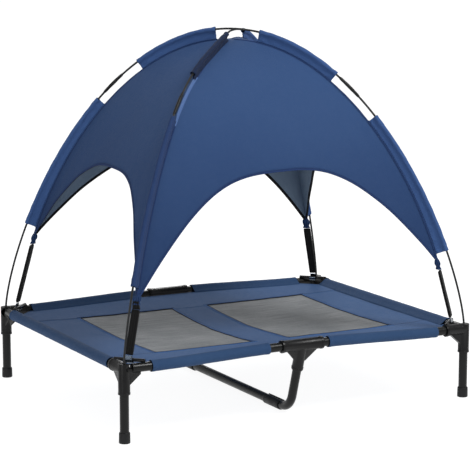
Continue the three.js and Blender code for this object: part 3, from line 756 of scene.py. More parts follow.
def support_pad():
    """A clip that opens upwards, flattened underneath, its ends and lips rounded."""
    opening, steps = PAD_OPENING, 40

    def arc(radius, i):
        angle = pi / 2 + opening / 2 + (2 * pi - opening) * i / steps
        return radius * cos(angle), max(radius * sin(angle), -SUPPORT_BAR_Z)

    rows = []
    for y, trim in PAD_PROFILE:
        outside = [arc(PAD_R - trim * MM, i) for i in range(steps + 1)]
        inside = [arc(SOCKET_R, steps - i) for i in range(steps + 1)]
        rows.append([Vector((-x, PAD_FROM + y * MM, SUPPORT_BAR_Z + z)) for x, z in outside + inside])
    return Shape().closed(rows)


for side, turn in (("back", 0), ("front", pi)):
    pad = support_pad()
    pad.points = [Matrix.Rotation(turn, 3, "Z") @ p for p in pad.points]
    finished(pad.object("support_foot_" + side, [FOOT_PLASTIC]), "bed", "foot_plastic",
             "support_pad_" + side)


# ---- sleeping surface -------------------------------------------------------------------------
GRID = 9 * MM
HEM_RISE, LAP_RISE, SEAM_STEP = 0.9 * MM, 0.8 * MM, 1.2 * MM
TAUT_EDGE = 30 * MM
# Size and depth of the slack cloth's ripples, and where in the noise they lie.
RIPPLES = [(60 * MM, 0.9 * MM, 3.1), (22 * MM, 0.35 * MM, 7.7)]
COVER_CLOTH, SLEEVE_WALL, MESH_CLOTH = 1.1 * MM, 0.8 * MM, 0.5 * MM


def deck_z(x, y):
    slack_x = max(0.0, 1 - abs(x / DECK_X) ** 2.5)
    slack_y = max(0.0, 1 - abs(y / DECK_Y) ** 1.3)
    return DECK_Z - DECK_SAG * slack_x * slack_y + (rail_z(x) - RAIL_Z) * abs(y / DECK_Y) ** 3


def ripple(x, y, size, depth, seed):
    return depth * uneven(x / size + seed, y / size - seed, seed)


def deck_edge(x):
    """How far the deck reaches in Y at x: shorter at the tees and at the cut corners."""
    notch = DECK_Y - (LEG_Y - TEE_CUT_DEPTH)
    reach = DECK_Y - notch * (1 - smooth(abs(x), TEE_CUTOUT - CUT_EASE, TEE_CUTOUT))
    return min(reach, LEG_Y + LEG_X - CORNER_CUT - abs(x))


def cover_height(x, y):
    """The cloth's top: the sag, turned hems round the windows, lapped seams, and slack ripples."""
    z = deck_z(x, y)
    for low, high in WINDOWS.values():
        outside = max(low - x, x - high, abs(y) - WINDOW_Y)
        z += HEM_RISE * (1 - smooth(outside, HEM - 1.0 * MM, HEM))
    z += LAP_RISE * smooth(abs(y), WINDOW_Y - SEAM_STEP, WINDOW_Y)
    loose = smooth(DECK_X - abs(x), 0, TAUT_EDGE) * smooth(DECK_Y - abs(y), 0, TAUT_EDGE)
    return z + loose * sum(ripple(x, y, *wave) for wave in RIPPLES)


def bed_cover():
    x_stops = {s * v for s in (-1, 1) for v in (DECK_X, TEE_CUTOUT, TEE_CUTOUT - CUT_EASE)}
    x_stops |= {s * (LEG_X + LEG_Y - CORNER_CUT - DECK_Y) for s in (-1, 1)}
    for low, high in WINDOWS.values():
        for edge, way in ((low, -1), (high, 1)):
            x_stops |= {edge, edge + way * 1 * MM, edge + way * (HEM - 1 * MM), edge + way * HEM}
    xs = lines(sorted(x_stops), GRID)
    hem_lines = [WINDOW_Y + v for v in (-SEAM_STEP, 0, 0.8 * MM, HEM - 1 * MM, HEM)]
    vs = lines(sorted([s * v for s in (-1, 1) for v in hem_lines + [DECK_Y]]), GRID)

    def y_at(x, v):
        if abs(v) <= WINDOW_Y + HEM:
            return v
        part = (abs(v) - WINDOW_Y - HEM) / (DECK_Y - WINDOW_Y - HEM)
        return copysign(WINDOW_Y + HEM + part * (deck_edge(x) - WINDOW_Y - HEM), v)

    shape = Shape()
    grid = {}
    for i, x in enumerate(xs):
        for j, v in enumerate(vs):
            y = y_at(x, v)
            grid[i, j] = len(shape.points)
            shape.points.append(Vector((x, y, cover_height(x, y))))
    for i in range(len(xs) - 1):
        for j in range(len(vs) - 1):
            x, y = (xs[i] + xs[i + 1]) / 2, (vs[j] + vs[j + 1]) / 2
            if any(low < x < high and abs(y) < WINDOW_Y for low, high in WINDOWS.values()):
                continue
            ring = [(i, j), (i + 1, j), (i + 1, j + 1), (i, j + 1)]
            shape.faces.append([grid[c] for c in ring])
            flat = [(xs[a], y_at(xs[a], vs[b])) for a, b in ring]
            shape.uvs.append(flat if abs(y) > WINDOW_Y else [(v, u) for u, v in flat])
            # Faces within a hem's width of a window take the paler cloth: painted highlight.
            hem = abs(y) < WINDOW_Y + HEM and any(a - HEM < x < b + HEM for a, b in WINDOWS.values())
            shape.marks.append(int(hem))
    return shape


def cloth_area(piece):
    return sum(face.area for face in piece.data.polygons)


cover_shape = bed_cover()
cover = cover_shape.object("bed_border", [BORDER_CLOTH, HEM_PAINTED_HIGHLIGHT])
thicken(cover, COVER_CLOTH)


SLEEVE_SEAM = -24 * MM, -2.3 * MM
HEM_START, HEM_END, SLEEVE_LIP = 7 * MM, 8 * MM, 0.6 * MM


def sleeve_outline(turn, radius):
    """The sleeve hugs the rail, but runs straight from its top and bottom to the seam on the deck."""
    seam = Vector(SLEEVE_SEAM)
    facing = atan2(seam.y, seam.x) % (2 * pi)
    spread = acos(radius / seam.length)
    off = turn - facing
    if abs(off) >= spread:
        return radius * cos(turn), radius * sin(turn)
    leaves = facing + copysign(spread, off)
    part = abs(off) / spread
    at = seam.lerp(Vector((cos(leaves), sin(leaves))) * radius, part)
    return at.x, at.y - (2.2 * MM * part * (1 - part) if off < 0 else 0)


def rail_sleeve(name, a, b, outwards, seed):
    """Cloth wrapped tight round a rail, its end hems turned back, slightly puckered at the seam."""
    length = (b - a).length
    along = (b - a).normalized()
    steps, sides = max(8, round(length / (5 * MM))), 48
    ends = [0, SLEEVE_LIP, HEM_START, HEM_END]
    even = [length * i / steps for i in range(1, steps)]
    between = [d for d in even if 10 * MM < d < length - 10 * MM]
    stations = sorted(ends + [length - d for d in ends] + between)
    rows = []
    for d in stations:
        from_end = min(d, length - d)
        hem = 0.35 * MM * (1 - smooth(from_end, HEM_START, HEM_END))
        hem -= 0.25 * MM * (1 - smooth(from_end, 0, SLEEVE_LIP))
        row = []
        for k in range(sides):
            turn = 2 * pi * k / sides
            crumple = uneven(d / (26 * MM) + seed, 1.6 * cos(turn), 1.6 * sin(turn) + seed)
            fine = uneven(d / (9 * MM) + seed, 2.4 * cos(turn), 2.4 * sin(turn) - seed)
            radius = SLEEVE_R + hem + 0.3 * MM * crumple + 0.16 * MM * fine
            x, z = sleeve_outline(turn, radius)
            at = a + along * d
            if abs(along.x) > 0.5:
                at.z = rail_z(at.x)
            row.append(at + outwards * x + UP * z)
        rows.append(row)
    shape = Shape()
    girth = 2 * pi * SLEEVE_R
    flip = outwards.cross(UP).dot(along) < 0
    shape.rows(rows, wrap=True, flip=not flip, uv=lambda i, j: (stations[i], girth * j / sides))
    made = shape.object(name, [RAIL_CLOTH_PAINTED_SHADE])
    thicken(made, SLEEVE_WALL)
    return finished(made, "bed", "bed_fabric")


# Where the sleeves on the long rails end, from the middle of the bed and from the legs.
TEE_ENDS = {"left": 88 * MM, "right": 70 * MM}
CORNER_ENDS = {"front_left": 66 * MM, "front_right": 81 * MM, "back_left": 66 * MM, "back_right": 66 * MM}
SHORT_SLEEVE = -288 * MM, 301 * MM
sleeve_runs = []
for side, y in (("front", -1), ("back", 1)):
    for half, x in (("left", -1), ("right", 1)):
        ends = sorted([x * TEE_ENDS[half], x * (LEG_X - CORNER_ENDS[f"{side}_{half}"])])
        sleeve_runs.append((f"rail_sleeve_{side}_{half}", [Vector((e, y * LEG_Y, RAIL_Z)) for e in ends],
                            Vector((0, y, 0))))
for side, x in (("left", -1), ("right", 1)):
    run = [Vector((x * LEG_X, y, RAIL_Z)) for y in SHORT_SLEEVE]
    sleeve_runs.append((f"rail_sleeve_{side}", run, Vector((x, 0, 0))))
for number, (name, (a, b), outwards) in enumerate(sleeve_runs):
    sleeve = rail_sleeve(name, a, b, outwards, 11.3 * number)
finished(cover, "bed", "bed_fabric", "bed_cover")

MESH_LAP, MESH_DROP, MESH_GRID = 6 * MM, 1.0 * MM, 8 * MM
for name, (low, high) in WINDOWS.items():
    left, right, back = low - MESH_LAP, high + MESH_LAP, WINDOW_Y + MESH_LAP
    xs, ys = lines([left, right], MESH_GRID), lines([-back, back], MESH_GRID)
    rows = [[Vector((x, y, cover_height(x, y) - MESH_DROP)) for y in ys] for x in xs]
    shape = Shape()
    shape.rows(rows, flip=True, uv=lambda i, j: (xs[i], ys[j]))
    vent = shape.object("vent_" + name, [VENT_MESH])
    thicken(vent, MESH_CLOTH)
    finished(vent, "bed", "mesh_fabric", name)

LIFT = 0.15 * MM
# Radius and sink of the dark cords round the windows, which are painted shadow.
SHADOW_CORD_R, SHADOW_CORD_SINK = 0.85 * MM, 0.35 * MM


def deck_line(a, b, steps=60, lift=LIFT):
    """Points on the cloth's top, evenly from a to b."""
    points = []
    for i in range(steps + 1):
        x, y = a[0] + (b[0] - a[0]) * i / steps, a[1] + (b[1] - a[1]) * i / steps
        points.append(Vector((x, y, cover_height(x, y) + lift)))
    return points


# Painted shadow: a dark cord round each window, sunk into the cloth's edge, darkens the window edges.
for name, (low, high) in WINDOWS.items():
    corners = [(low, -WINDOW_Y), (high, -WINDOW_Y), (high, WINDOW_Y), (low, WINDOW_Y)]
    path = []
    for a, b in zip(corners, corners[1:] + corners[:1]):
        path += deck_line(a, b, 40, -SHADOW_CORD_SINK)[:-1]
    rows = []
    for i, at in enumerate(path):
        ahead = (path[(i + 1) % len(path)] - path[i - 1]).normalized()
        side = ahead.cross(UP).normalized()
        rows.append([at + side * c + side.cross(ahead) * s for c, s in circle(SHADOW_CORD_R, 10)])
    rows.append(rows[0])
    shape = Shape()
    shape.rows(rows, wrap=True, uv=lambda i, j: (6 * MM * i, 0.5 * MM * j))
    finished(shape.object("window_shadow_cord_" + name, [BINDING_IN_AND_WINDOW_SHADOW], weld=0.01 * MM), "bed", "bed_fabric")

bed_stitches = []
for low, high in WINDOWS.values():
    for inset in (2.2 * MM, HEM - 2.4 * MM):
        x0, x1, y1 = low - inset, high + inset, WINDOW_Y + inset
        ring = [(x0, -y1), (x1, -y1), (x1, y1), (x0, y1), (x0, -y1)]
        bed_stitches += [deck_line(a, b) for a, b in zip(ring, ring[1:])]
for y in (-1, 1):
    for x in (-1, 1):
        lap = y * (WINDOW_Y + 2.2 * MM)
        first = WINDOWS["mesh_left"][0] if x < 0 else WINDOWS["mesh_right"][1]
        bed_stitches.append(deck_line((first, lap), (x * (DECK_X - 6 * MM), lap)))
        bed_stitches.append(deck_line((x * (TEE_CUTOUT + 4 * MM), y * (DECK_Y - 5 * MM)),
                                      (x * (LEG_X - SLEEVE_START - 4 * MM), y * (DECK_Y - 5 * MM))))
for x in (-1, 1):
    bed_stitches.append(deck_line((x * (DECK_X - 5 * MM), -258 * MM), (x * (DECK_X - 5 * MM), 280 * MM)))
sew("bed_stitches", bed_stitches, "bed", "bed_fabric", THREAD)


# ---- poles ------------------------------------------------------------------------------------
POLE_SIDES = 24
POLE_JOIN = 0.0006
# Part of the way from the middle to an end, and the radius there in millimetres.
FERRULE_PROFILE = [(-1.0, 2.75), (-0.985, 3.3), (-0.86, 3.55), (-0.82, 3.75), (-0.42, 3.8), (-0.36, 4.15),
                   (0.36, 4.15), (0.42, 3.8), (0.82, 3.75), (0.86, 3.55), (0.985, 3.3), (1.0, 2.75)]


def pole_run(corner, start, end, pitch=radians(1.2)):
    """Points of a corner's half of its pole, between two angles from the crown."""
    steps = max(2, round(abs(end - start) / pitch))
    return [corner.pole_point(start + (end - start) * i / steps) for i in range(steps + 1)]


for corner in CORNERS:
    lower = pole_run(corner, FERRULE_MIDDLE + POLE_JOIN, pi / 2) + [corner.post + UP * POLE_END_Z]
    shape = rod(lower, corner.across, POLE_R, POLE_SIDES)
    finished(shape.object("pole_" + corner.name, [POLE_PAINT]), "canopy", "pole",
             "pole_lower_" + corner.name)
    path = [corner.pole_point(FERRULE_MIDDLE + FERRULE_HALF * t) for t, _ in FERRULE_PROFILE]
    rows = carried(path, corner.across, lambda i: circle(FERRULE_PROFILE[i][1] * MM, 32))
    shape = Shape().closed(rows)
    finished(shape.object("ferrule_" + corner.name, [FERRULE_BLACK]), "canopy", "ferrule",
             "pole_ferrule_" + corner.name)
for which, (near, far) in {"over": (1, 3), "under": (0, 2)}.items():
    first, second = CORNERS[near], CORNERS[far]
    top = FERRULE_MIDDLE - POLE_JOIN
    crown = pole_run(first, top, 0) + pole_run(second, 0, top)[1:]
    shape = rod(crown, first.across, POLE_R, POLE_SIDES)
    finished(shape.object("pole_crown_" + which, [POLE_PAINT]), "canopy", "pole", "pole_centre_" + which)

# ---- canopy cloth -----------------------------------------------------------------------------
PANEL_COLUMNS, PANEL_ROWS = 56, 44


def arch_angle(a, b, u):
    """Angle from the crown of the panel's lower edge, a part u of the way from corner a to corner b."""
    tip = a.tip + (b.tip - a.tip) * smooth(u, 0, 1)
    return ARCH_MIDDLE + (tip - ARCH_MIDDLE) * abs(2 * u - 1) ** ARCH_POWER


def panel_point(a, b, u, v):
    """A point of a panel: u from seam to seam, v from the crown to the arch's edge."""
    angle = arch_angle(a, b, u) * v
    left, right = a.seam_point(angle), b.seam_point(angle)
    at = left.lerp(right, u)
    outwards = (a.out + b.out).normalized()
    between = sin(pi * u)
    soft = between * smooth(v, 0, 0.25)
    waves = 3.2 * noise.noise(at * 6 + outwards * 9) + 1.1 * noise.noise(at * 19 + outwards * 4)
    tip_a, tip_b = (1 - u) ** 5 * v ** 3, u ** 5 * v ** 3
    drawn = sin(60 * u + 2 * v) * tip_a * smooth(u, 0, 0.06)
    drawn += sin(60 * (1 - u) + v) * tip_b * smooth(1 - u, 0, 0.06)
    belly = -2.5 * soft * sin(pi * min(1.0, v))
    return at + (outwards * 0.8 + UP * 0.35) * MM * (waves * soft + 1.3 * drawn + belly)


def canopy_sheet():
    """The four gores as one skin, closed at the crown and along the four seams."""
    shape = Shape()
    for number, (a, b) in enumerate(PANELS.values()):
        a, b = CORNERS[a], CORNERS[b]
        parts = [i / PANEL_COLUMNS for i in range(PANEL_COLUMNS + 1)]
        us = [0.35 * (1 - cos(pi * t)) / 2 + 0.65 * t for t in parts]
        vs = [(j / PANEL_ROWS) ** 0.85 for j in range(PANEL_ROWS + 1)]
        rows = [[panel_point(a, b, u, v) for u in us] for v in vs]
        spans = [(a.seam_point(a.tip * v) - b.seam_point(b.tip * v)).length for v in vs]
        shape.rows(rows, flip=True, uv=lambda i, j, us=us, vs=vs, spans=spans, n=number:
                   (spans[i] * (us[j] - 0.5) + 2.0 * n, -0.85 * vs[i]))
    return shape


canopy = canopy_sheet().object("canopy_cloth", [CANOPY_OUT, CANOPY_IN], weld=0.05 * MM)
thicken(canopy, CANOPY_CLOTH, inner=1)
finished(canopy, "canopy", "canopy_fabric", *[f"canopy_panel_{side}" for side in PANELS])


def surface_frame(a, b, u, v):
    """Position, outward normal and upward direction in the cloth at a point of a panel."""
    at = panel_point(a, b, u, v)
    step = 0.004
    along = panel_point(a, b, min(1, u + step), v) - panel_point(a, b, max(0, u - step), v)
    upwards = panel_point(a, b, u, v - step) - at
    normal = along.cross(upwards).normalized()
    return at, normal, normal.cross(along).normalized()


# Outline of the binding round a cloth edge: how far up the cloth, how far out of it, in millimetres.
BINDING = [(5.2, 0.1), (5.0, 0.65), (2.6, 0.8), (0.3, 0.7), (-0.6, 0.35), (-0.8, -0.45), (-0.6, -1.3),
           (0.3, -1.65), (3.0, -1.75), (6.4, -1.6), (6.6, -1.02), (0.2, -1.02), (0.1, 0.06)]
canopy_stitches = []
for side, (first, second) in PANELS.items():
    a, b = CORNERS[first], CORNERS[second]
    rows, run, stitch = [], [0.0], []
    count = 120
    for i in range(count + 1):
        u = 0.004 + 0.992 * i / count
        at, normal, upwards = surface_frame(a, b, u, 1.0)
        rows.append([at + upwards * s * MM + normal * n * MM for s, n in BINDING])
        stitch.append(at + upwards * 3.4 * MM + normal * 0.95 * MM)
        if i:
            run.append(run[-1] + (rows[-1][3] - rows[-2][3]).length)
    shape = Shape().closed(rows, lambda i, j: (run[i], 1.4 * MM * j), lambda i, j: int(4 <= j <= 11), True)
    binding = shape.object("arch_binding_" + side, [BINDING_OUT, BINDING_IN_AND_WINDOW_SHADOW])
    finished(binding, "canopy", "canopy_fabric")
    canopy_stitches.append(stitch)


# ---- pole sleeves -----------------------------------------------------------------------------
def reach_to_seam(corner, angle):
    """How far it is from the pole to the canopy's seam, straight in from the pole at that angle."""
    at = corner.pole_point(angle)
    step = 0.002
    along = (corner.pole_point(angle - step) - corner.pole_point(angle + step)).normalized()
    inwards = along.cross(corner.across).normalized()
    low, high = angle - 0.25, angle + 0.25
    for _ in range(40):
        mid = (low + high) / 2
        if (corner.seam_point(mid) - at).dot(along) > 0:
            low = mid
        else:
            high = mid
    return (corner.seam_point(mid) - at).dot(inwards), inwards


def angle_at(reach):
    """The angle from the crown where the pole is that far out from the middle."""
    return asin(reach / POLE_S)


def pole_sleeve(corner, which, reach, seed):
    """A folded strip: a loop round the pole, drawn in to a double flap that is sewn to the seam."""
    start, end = (angle_at(r) for r in reach)
    way = pole_run(corner, start, end)
    length = sum((p - q).length for p, q in zip(way, way[1:]))
    count = round(length / (3.2 * MM))
    turns = [radians(62 - 304 * i / 26) for i in range(27)]
    rows, run, stitch_seam, stitch_neck = [], [], [], []
    longest = 0.0
    for i in range(count + 1):
        angle = end + (start - end) * i / count
        d = length * i / count
        depth, inwards = reach_to_seam(corner, angle)
        from_end = min(d, length - d)
        pull = exp(-from_end / (38 * MM))
        hem = 0.45 * MM * (1 - smooth(from_end, 7 * MM, 8 * MM))
        at = corner.pole_point(angle)
        half = 0.75 * MM
        neck = depth * 0.42 + 1.2 * MM * uneven(d / (34 * MM), seed, 0)
        section = []
        for x_sign in (1, -1):
            part = []
            for t in (1.0, 0.75, 0.5, 0.25, 0.0):
                y = neck + (depth - neck) * t
                swell = sin(pi * t)
                gather = 0.8 * MM * swell * uneven(d / (7 * MM), 2.2 * t + seed, x_sign)
                drawn = 2.0 * MM * swell * pull * sin(from_end / (5.2 * MM) - 4.2 * t + seed)
                part.append((x_sign * half * (1 + 0.5 * swell) + gather + drawn, y))
            section.append(part)
        loop = []
        for turn in turns:
            crumple = uneven(d / (24 * MM) + turn * 0.9, cos(turn) + seed, sin(turn))
            fine = uneven(d / (8 * MM) + turn * 1.6, 2 * cos(turn) - seed, 2 * sin(turn))
            slanted = sin(from_end / (5.2 * MM) + 1.6 * turn + seed) * pull
            radius = LOOP_R + hem + (0.7 * crumple + 0.35 * fine + 0.5 * slanted) * MM
            drop = 0.9 * MM * max(0.0, sin(turn)) ** 3
            loop.append((radius * cos(turn), radius * sin(turn) + drop))
        outline = section[0] + loop + section[1][::-1]
        rows.append([at + corner.across * x + inwards * y for x, y in outline])
        run.append(d)
        around = sum(dist(p, q) for p, q in zip(outline, outline[1:]))
        longest = max(longest, around)
        stitch_seam.append(at + corner.across * 1.9 * MM + inwards * (depth - 2.2 * MM))
        stitch_neck.append(at - corner.across * 1.9 * MM + inwards * (depth - 2.2 * MM))
    girths = [list(accumulate(((q - p).length for p, q in zip(row, row[1:])), initial=0.0)) for row in rows]
    shape = Shape()
    shape.rows(rows, uv=lambda i, j: (run[i], girths[i][j]))
    name = f"pole_sleeve_{which}_{corner.name}"
    # The front_left sleeves take the darker copies of the sleeve cloth: painted shade.
    painted_shade_cloth = {"upper": SLEEVE_PAINTED_DEEP_SHADE, "lower": SLEEVE_PAINTED_SHADE}[which]
    cloth = painted_shade_cloth if corner.name == "front_left" else SLEEVE_CLOTH
    sleeve = shape.object(f"sleeve_{which}_{corner.name}", [cloth])
    thicken(sleeve, 0.45 * MM)
    finished(sleeve, "canopy", "canopy_fabric", name)
    canopy_stitches.extend([stitch_seam, stitch_neck])


for number, corner in enumerate(CORNERS):
    pole_sleeve(corner, "upper", corner.upper, 3.7 * number)
    pole_sleeve(corner, "lower", corner.lower, 3.7 * number + 1.9)

# The facing on each seam: a narrow doubled strip, seen where no sleeve covers it.
for corner in CORNERS:
    rows, run = [], [0.0]
    gap = (angle_at(corner.upper[1]), angle_at(corner.lower[0]))
    if corner.name != "front_left":
        gap = (2.0, 2.1)
    top, low = radians(1.0), corner.tip - radians(0.6)
    count = 110
    for i in range(count + 1):
        angle = top + (low - top) * i / count
        at = corner.seam_point(angle)
        along = (corner.seam_point(angle - 0.002) - corner.seam_point(angle + 0.002)).normalized()
        outwards = -along.cross(corner.across).normalized()
        shown = smooth(angle, gap[0], gap[0] + 0.01) * (1 - smooth(angle, gap[1] - 0.01, gap[1]))
        rise = (1.0 + 5.0 * shown) * MM + 0.35 * MM * noise.noise(at * 60)
        width = 0.7 * MM
        outline = [(-3.4 * MM, -1.9 * MM), (-width, 0.2 * MM), (-width, rise), (0, rise + 0.5 * MM),
                   (width, rise), (width, 0.2 * MM), (3.4 * MM, -1.9 * MM), (0, -1.2 * MM)]
        rows.append([at + corner.across * x + outwards * y for x, y in outline])
        if i:
            run.append(run[-1] + (rows[-1][3] - rows[-2][3]).length)
    pale = [gap[0] - 0.02 < top + (low - top) * i / count < gap[1] + 0.02 for i in range(count + 1)]
    shape = Shape().closed(rows, lambda i, j: (run[i], 2 * MM * j), lambda i, j: int(pale[i]))
    facing = shape.object("seam_facing_" + corner.name, [SEAM_CLOTH, SEAM_PALE])
    finished(facing, "canopy", "canopy_fabric")

sew("canopy_stitches", canopy_stitches, "canopy", "canopy_fabric", THREAD, 0.4 * MM)


# ---- knots, straps and hooks ------------------------------------------------------------------
def tie_knot(corner):
    """A tight overhand knot in a doubled cord."""
    centre = corner.knot()
    shape = Shape()
    size = 1.05 * MM
    path = []
    for i in range(73):
        t = 2 * pi * i / 72
        path.append(centre + size * (corner.across * (sin(t) + 2 * sin(2 * t))
                                     + UP * (cos(t) - 2 * cos(2 * t)) - corner.out * 1.3 * sin(3 * t)))
    rows = []
    for i, at in enumerate(path[:-1]):
        ahead = (path[(i + 1) % 72] - path[i - 1]).normalized()
        side = square_to(ahead)
        other = ahead.cross(side)
        rows.append([at + 1.35 * MM * (side * c + other * s) for c, s in circle(1.0, 12)])
    rows.append(rows[0])
    shape.rows(rows, wrap=True, flip=True, uv=lambda i, j: (0.9 * MM * i, 0.7 * MM * j))
    return shape


def gathered_tip(corner, centre):
    """The canopy's corner drawn together in pleats above the knot, with a short spread end below it."""
    top, low = corner.seam_point(corner.tip - radians(2.0)) - corner.out * MM, centre - UP * 3.6 * MM
    count, sides = 26, 72
    rows = []
    for i in range(count + 1):
        t = i / count
        at = top.lerp(low, t) - corner.out * 0.4 * MM * sin(pi * t)
        wide = (4.0 + 4.6 * smooth(t, 0, 0.5) - 1.6 * smooth(t, 0.62, 0.78) + 1.9 * smooth(t, 0.8, 1)) * MM
        deep = (2.0 + 4.4 * smooth(t, 0, 0.6) - 1.8 * smooth(t, 0.62, 0.78) + 1.6 * smooth(t, 0.8, 1)) * MM
        row = []
        for k in range(sides):
            turn = 2 * pi * k / sides
            fold = 0.20 * cos(9 * turn + 2.2 * t) + 0.08 * cos(5 * turn - 3 * t)
            pleat = 1 + fold * smooth(t, 0.05, 0.4)
            row.append(at + corner.across * wide * pleat * cos(turn)
                       + corner.out * deep * pleat * sin(turn))
        rows.append(row)
    shape = Shape().closed(rows, lambda i, j: (0.05 * j / sides, (top - low).length * i / count))
    return shape.object("tip_gather_" + corner.name, [CANOPY_OUT]), (top - low).length


TAB_OUTLINE = [(-1, -0.6), (-0.9, -1), (0.9, -1), (1, -0.6), (1, 0.6), (0.9, 1), (-0.9, 1), (-1, 0.6)]


def tip_tab(corner, tip, centre):
    """Doubled webbing from the canopy's tip down to the knot."""
    rows, half, thick = [], STRAP_WIDTH / 2, 2.6 * MM
    top, low, count = tip + UP * 5 * MM, centre - UP * 4.4 * MM, 10
    for i in range(count + 1):
        at = top.lerp(low, i / count) + corner.out * 2.2 * MM * (1 - i / count)
        edge = half * (1 - 0.25 * (1 - i / count))
        rows.append([at + corner.across * edge * x + corner.out * thick * y for x, y in TAB_OUTLINE])
    shape = Shape().closed(rows, lambda i, j: (5 * MM * j, 2.4 * MM * i))
    return shape.object("tip_tab_" + corner.name, [WEBBING])


def strap_loop(corner, start, along, square, face, first, last):
    """A doubled strap: up one side and down the other, its two plies pressed together at the ends."""
    plies = 2 * 44
    line, run = [], [0.0]
    turn_most = radians(0 if corner.x * corner.y < 0 else 5)
    for i in range(plies):
        part = i / (plies // 2) if i < plies // 2 else 2 - i / (plies // 2)
        way = 1 if i < plies // 2 else -1
        d = first + STRAP_PLY / 2 + (last - first - STRAP_PLY) * part
        open_by = smooth(d - first, 4 * MM, 34 * MM) * smooth(last - d, 4 * MM, 26 * MM)
        gap = way * (STRAP_PLY * 0.52 + 0.2 * MM * open_by)
        if part in (0.0, 1.0):
            gap = 0.0
        gap += 0.4 * MM * uneven(d * 22, corner.x * 3.3, way + corner.y)
        line.append((d, gap, turn_most * sin(pi * part)))
        if i:
            run.append(run[-1] + dist(line[-1][:2], line[-2][:2]))
    half, soft = STRAP_WIDTH / 2, 0.45 * MM
    rows = []
    swell = STRAP_PLY / 2 + 0.1 * MM
    outline = [(-half, -soft), (-half, soft), (-half + soft, STRAP_PLY / 2), (0, swell),
               (half - soft, STRAP_PLY / 2), (half, soft), (half, -soft), (half - soft, -STRAP_PLY / 2),
               (0, -swell), (-half + soft, -STRAP_PLY / 2)]
    for i, (d, gap, turn) in enumerate(line):
        before, after = line[i - 1], line[(i + 1) % plies]
        ahead = Vector((after[0] - before[0], after[1] - before[1]))
        ahead.normalize()
        normal = Vector((-ahead.y, ahead.x))
        row = []
        for x, y in outline:
            reach, out = d + normal.x * y, gap + normal.y * y
            wide = x * cos(turn) - out * sin(turn)
            deep = x * sin(turn) + out * cos(turn)
            row.append(start + along * reach + square * wide + face * deep)
        rows.append(row)
    rows.append(rows[0])
    run.append(run[-1] + dist(line[0][:2], line[-1][:2]))
    shape = Shape()
    shape.rows(rows, wrap=True, uv=lambda i, j: ((j - 5) * 3.7 * MM, run[i]))
    return shape.object("webbing_" + corner.name, [WEBBING], weld=0.01 * MM), run[-1]


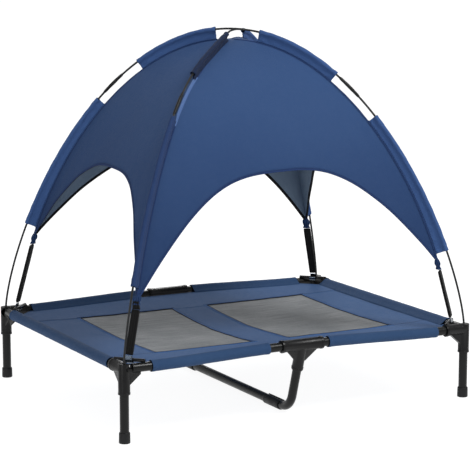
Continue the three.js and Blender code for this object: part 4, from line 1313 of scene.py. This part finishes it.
for corner in CORNERS:
    knot = tie_knot(corner).object("knot_" + corner.name, [WEBBING], weld=0.02 * MM)
    finished(knot, "canopy", "webbing", "tie_knot_" + corner.name)
    tip, centre = corner.seam_point(corner.tip), corner.knot()
    short = corner.name == "front_left"
    gather, gather_length = gathered_tip(corner, tip + UP * 1.5 * MM if short else centre)
    if short:
        finished(tip_tab(corner, tip, centre), "canopy", "webbing")
    finished(gather, "canopy", "canopy_fabric")
    cloth_area(gather) / 2

    inwards = Vector((-corner.x, -corner.y, 0)).normalized()
    brace = corner.post + inwards * BRACE_REACH / sqrt(2)
    brace.z = BRACE_Z
    bar_axis = UP.cross(inwards)
    rise = centre - brace
    up = (rise - bar_axis * rise.dot(bar_axis)).normalized()
    out = -up.cross(bar_axis)
    hook_line = [(HOOK_TOP, -HOOK_RADIUS), (HOOK_TOP / 2, -HOOK_RADIUS)]
    hook_line += [(-HOOK_RADIUS * sin(HOOK_WRAP * i / 28), -HOOK_RADIUS * cos(HOOK_WRAP * i / 28))
                  for i in range(29)]
    path = [brace + up * u + out * o for u, o in hook_line]
    half, thick, soft = HOOK_WIDTH / 2, HOOK_PLATE / 2, 0.5 * MM
    outline = [(-half + soft, -thick), (half - soft, -thick), (half, -thick + soft), (half, thick - soft),
               (half - soft, thick), (-half + soft, thick), (-half, thick - soft), (-half, -thick + soft)]
    shape = Shape().closed(carried(path, bar_axis, lambda i: outline))
    body = "strap_" + corner.name
    finished(shape.object("hook_" + corner.name, [PLATED]), body, "hook_steel", "strap_hook_" + corner.name)

    along = (centre - path[0]).normalized()
    length = (centre - path[0]).length
    first, last = 1.7 * MM, length - KNOT_R - 1 * MM
    square = (bar_axis - along * bar_axis.dot(along)).normalized()
    face = along.cross(square)
    strap, ply_length = strap_loop(corner, path[0], along, square, face, first, last)
    finished(strap, body, "webbing", "strap_" + corner.name)
    strap_stitches = []
    for d in (first + 12 * MM, first + 17 * MM):
        for way in (-1, 1):
            lift = STRAP_PLY * 1.02 + 0.25 * MM
            strap_stitches.append([path[0] + along * d + square * x * MM + face * way * lift
                                   for x in (-8, -4, 0, 4, 8)])
    sew("strap_stitches_" + corner.name, strap_stitches, body, "webbing", STRAP_THREAD, 0.35 * MM)

# ---- room -------------------------------------------------------------------------------------
floor_finish = Finish("studio_floor", 0.9, specular_ior_level=0.1)
floor_finish.shader.inputs["Base Color"].default_value = (0.2, 0.2, 0.2, 1)
floor_finish.shader.inputs["Emission Color"].default_value = (1, 1, 1, 1)
floor_finish.shader.inputs["Emission Strength"].default_value = 0.92
floor_mesh = bpy.data.meshes.new("floor")
floor_mesh.from_pydata([(-30, -30, 0), (30, -30, 0), (30, 30, 0), (-30, 30, 0)], [], [(0, 1, 2, 3)])
floor_mesh.materials.append(floor_finish.material)
floor = placed("floor", floor_mesh)

world = bpy.data.worlds.new("studio")
bpy.context.scene.world = world
world.use_nodes = True
world.node_tree.nodes["Background"].inputs[0].default_value = (1.0, 1.0, 1.0, 1)
world.node_tree.nodes["Background"].inputs[1].default_value = 0.62
bpy.context.scene.view_settings.view_transform = "Standard"


def panel_light(name, at, aim, size, power):
    data = bpy.data.lights.new(name, "AREA")
    data.shape, data.size, data.energy = "DISK", size, power
    lamp = placed(name, data)
    lamp.location = at
    lamp.rotation_euler = (Vector(aim) - Vector(at)).to_track_quat("-Z", "Y").to_euler()


panel_light("key", (1.2, -2.2, 3.4), (0, 0, 0.4), 1.5, 105)
panel_light("side", (-3.0, -1.8, 1.2), (0, 0, 0.4), 0.9, 12)
panel_light("back", (1.5, 2.8, 2.2), (0, 0, 0.5), 1.2, 34)
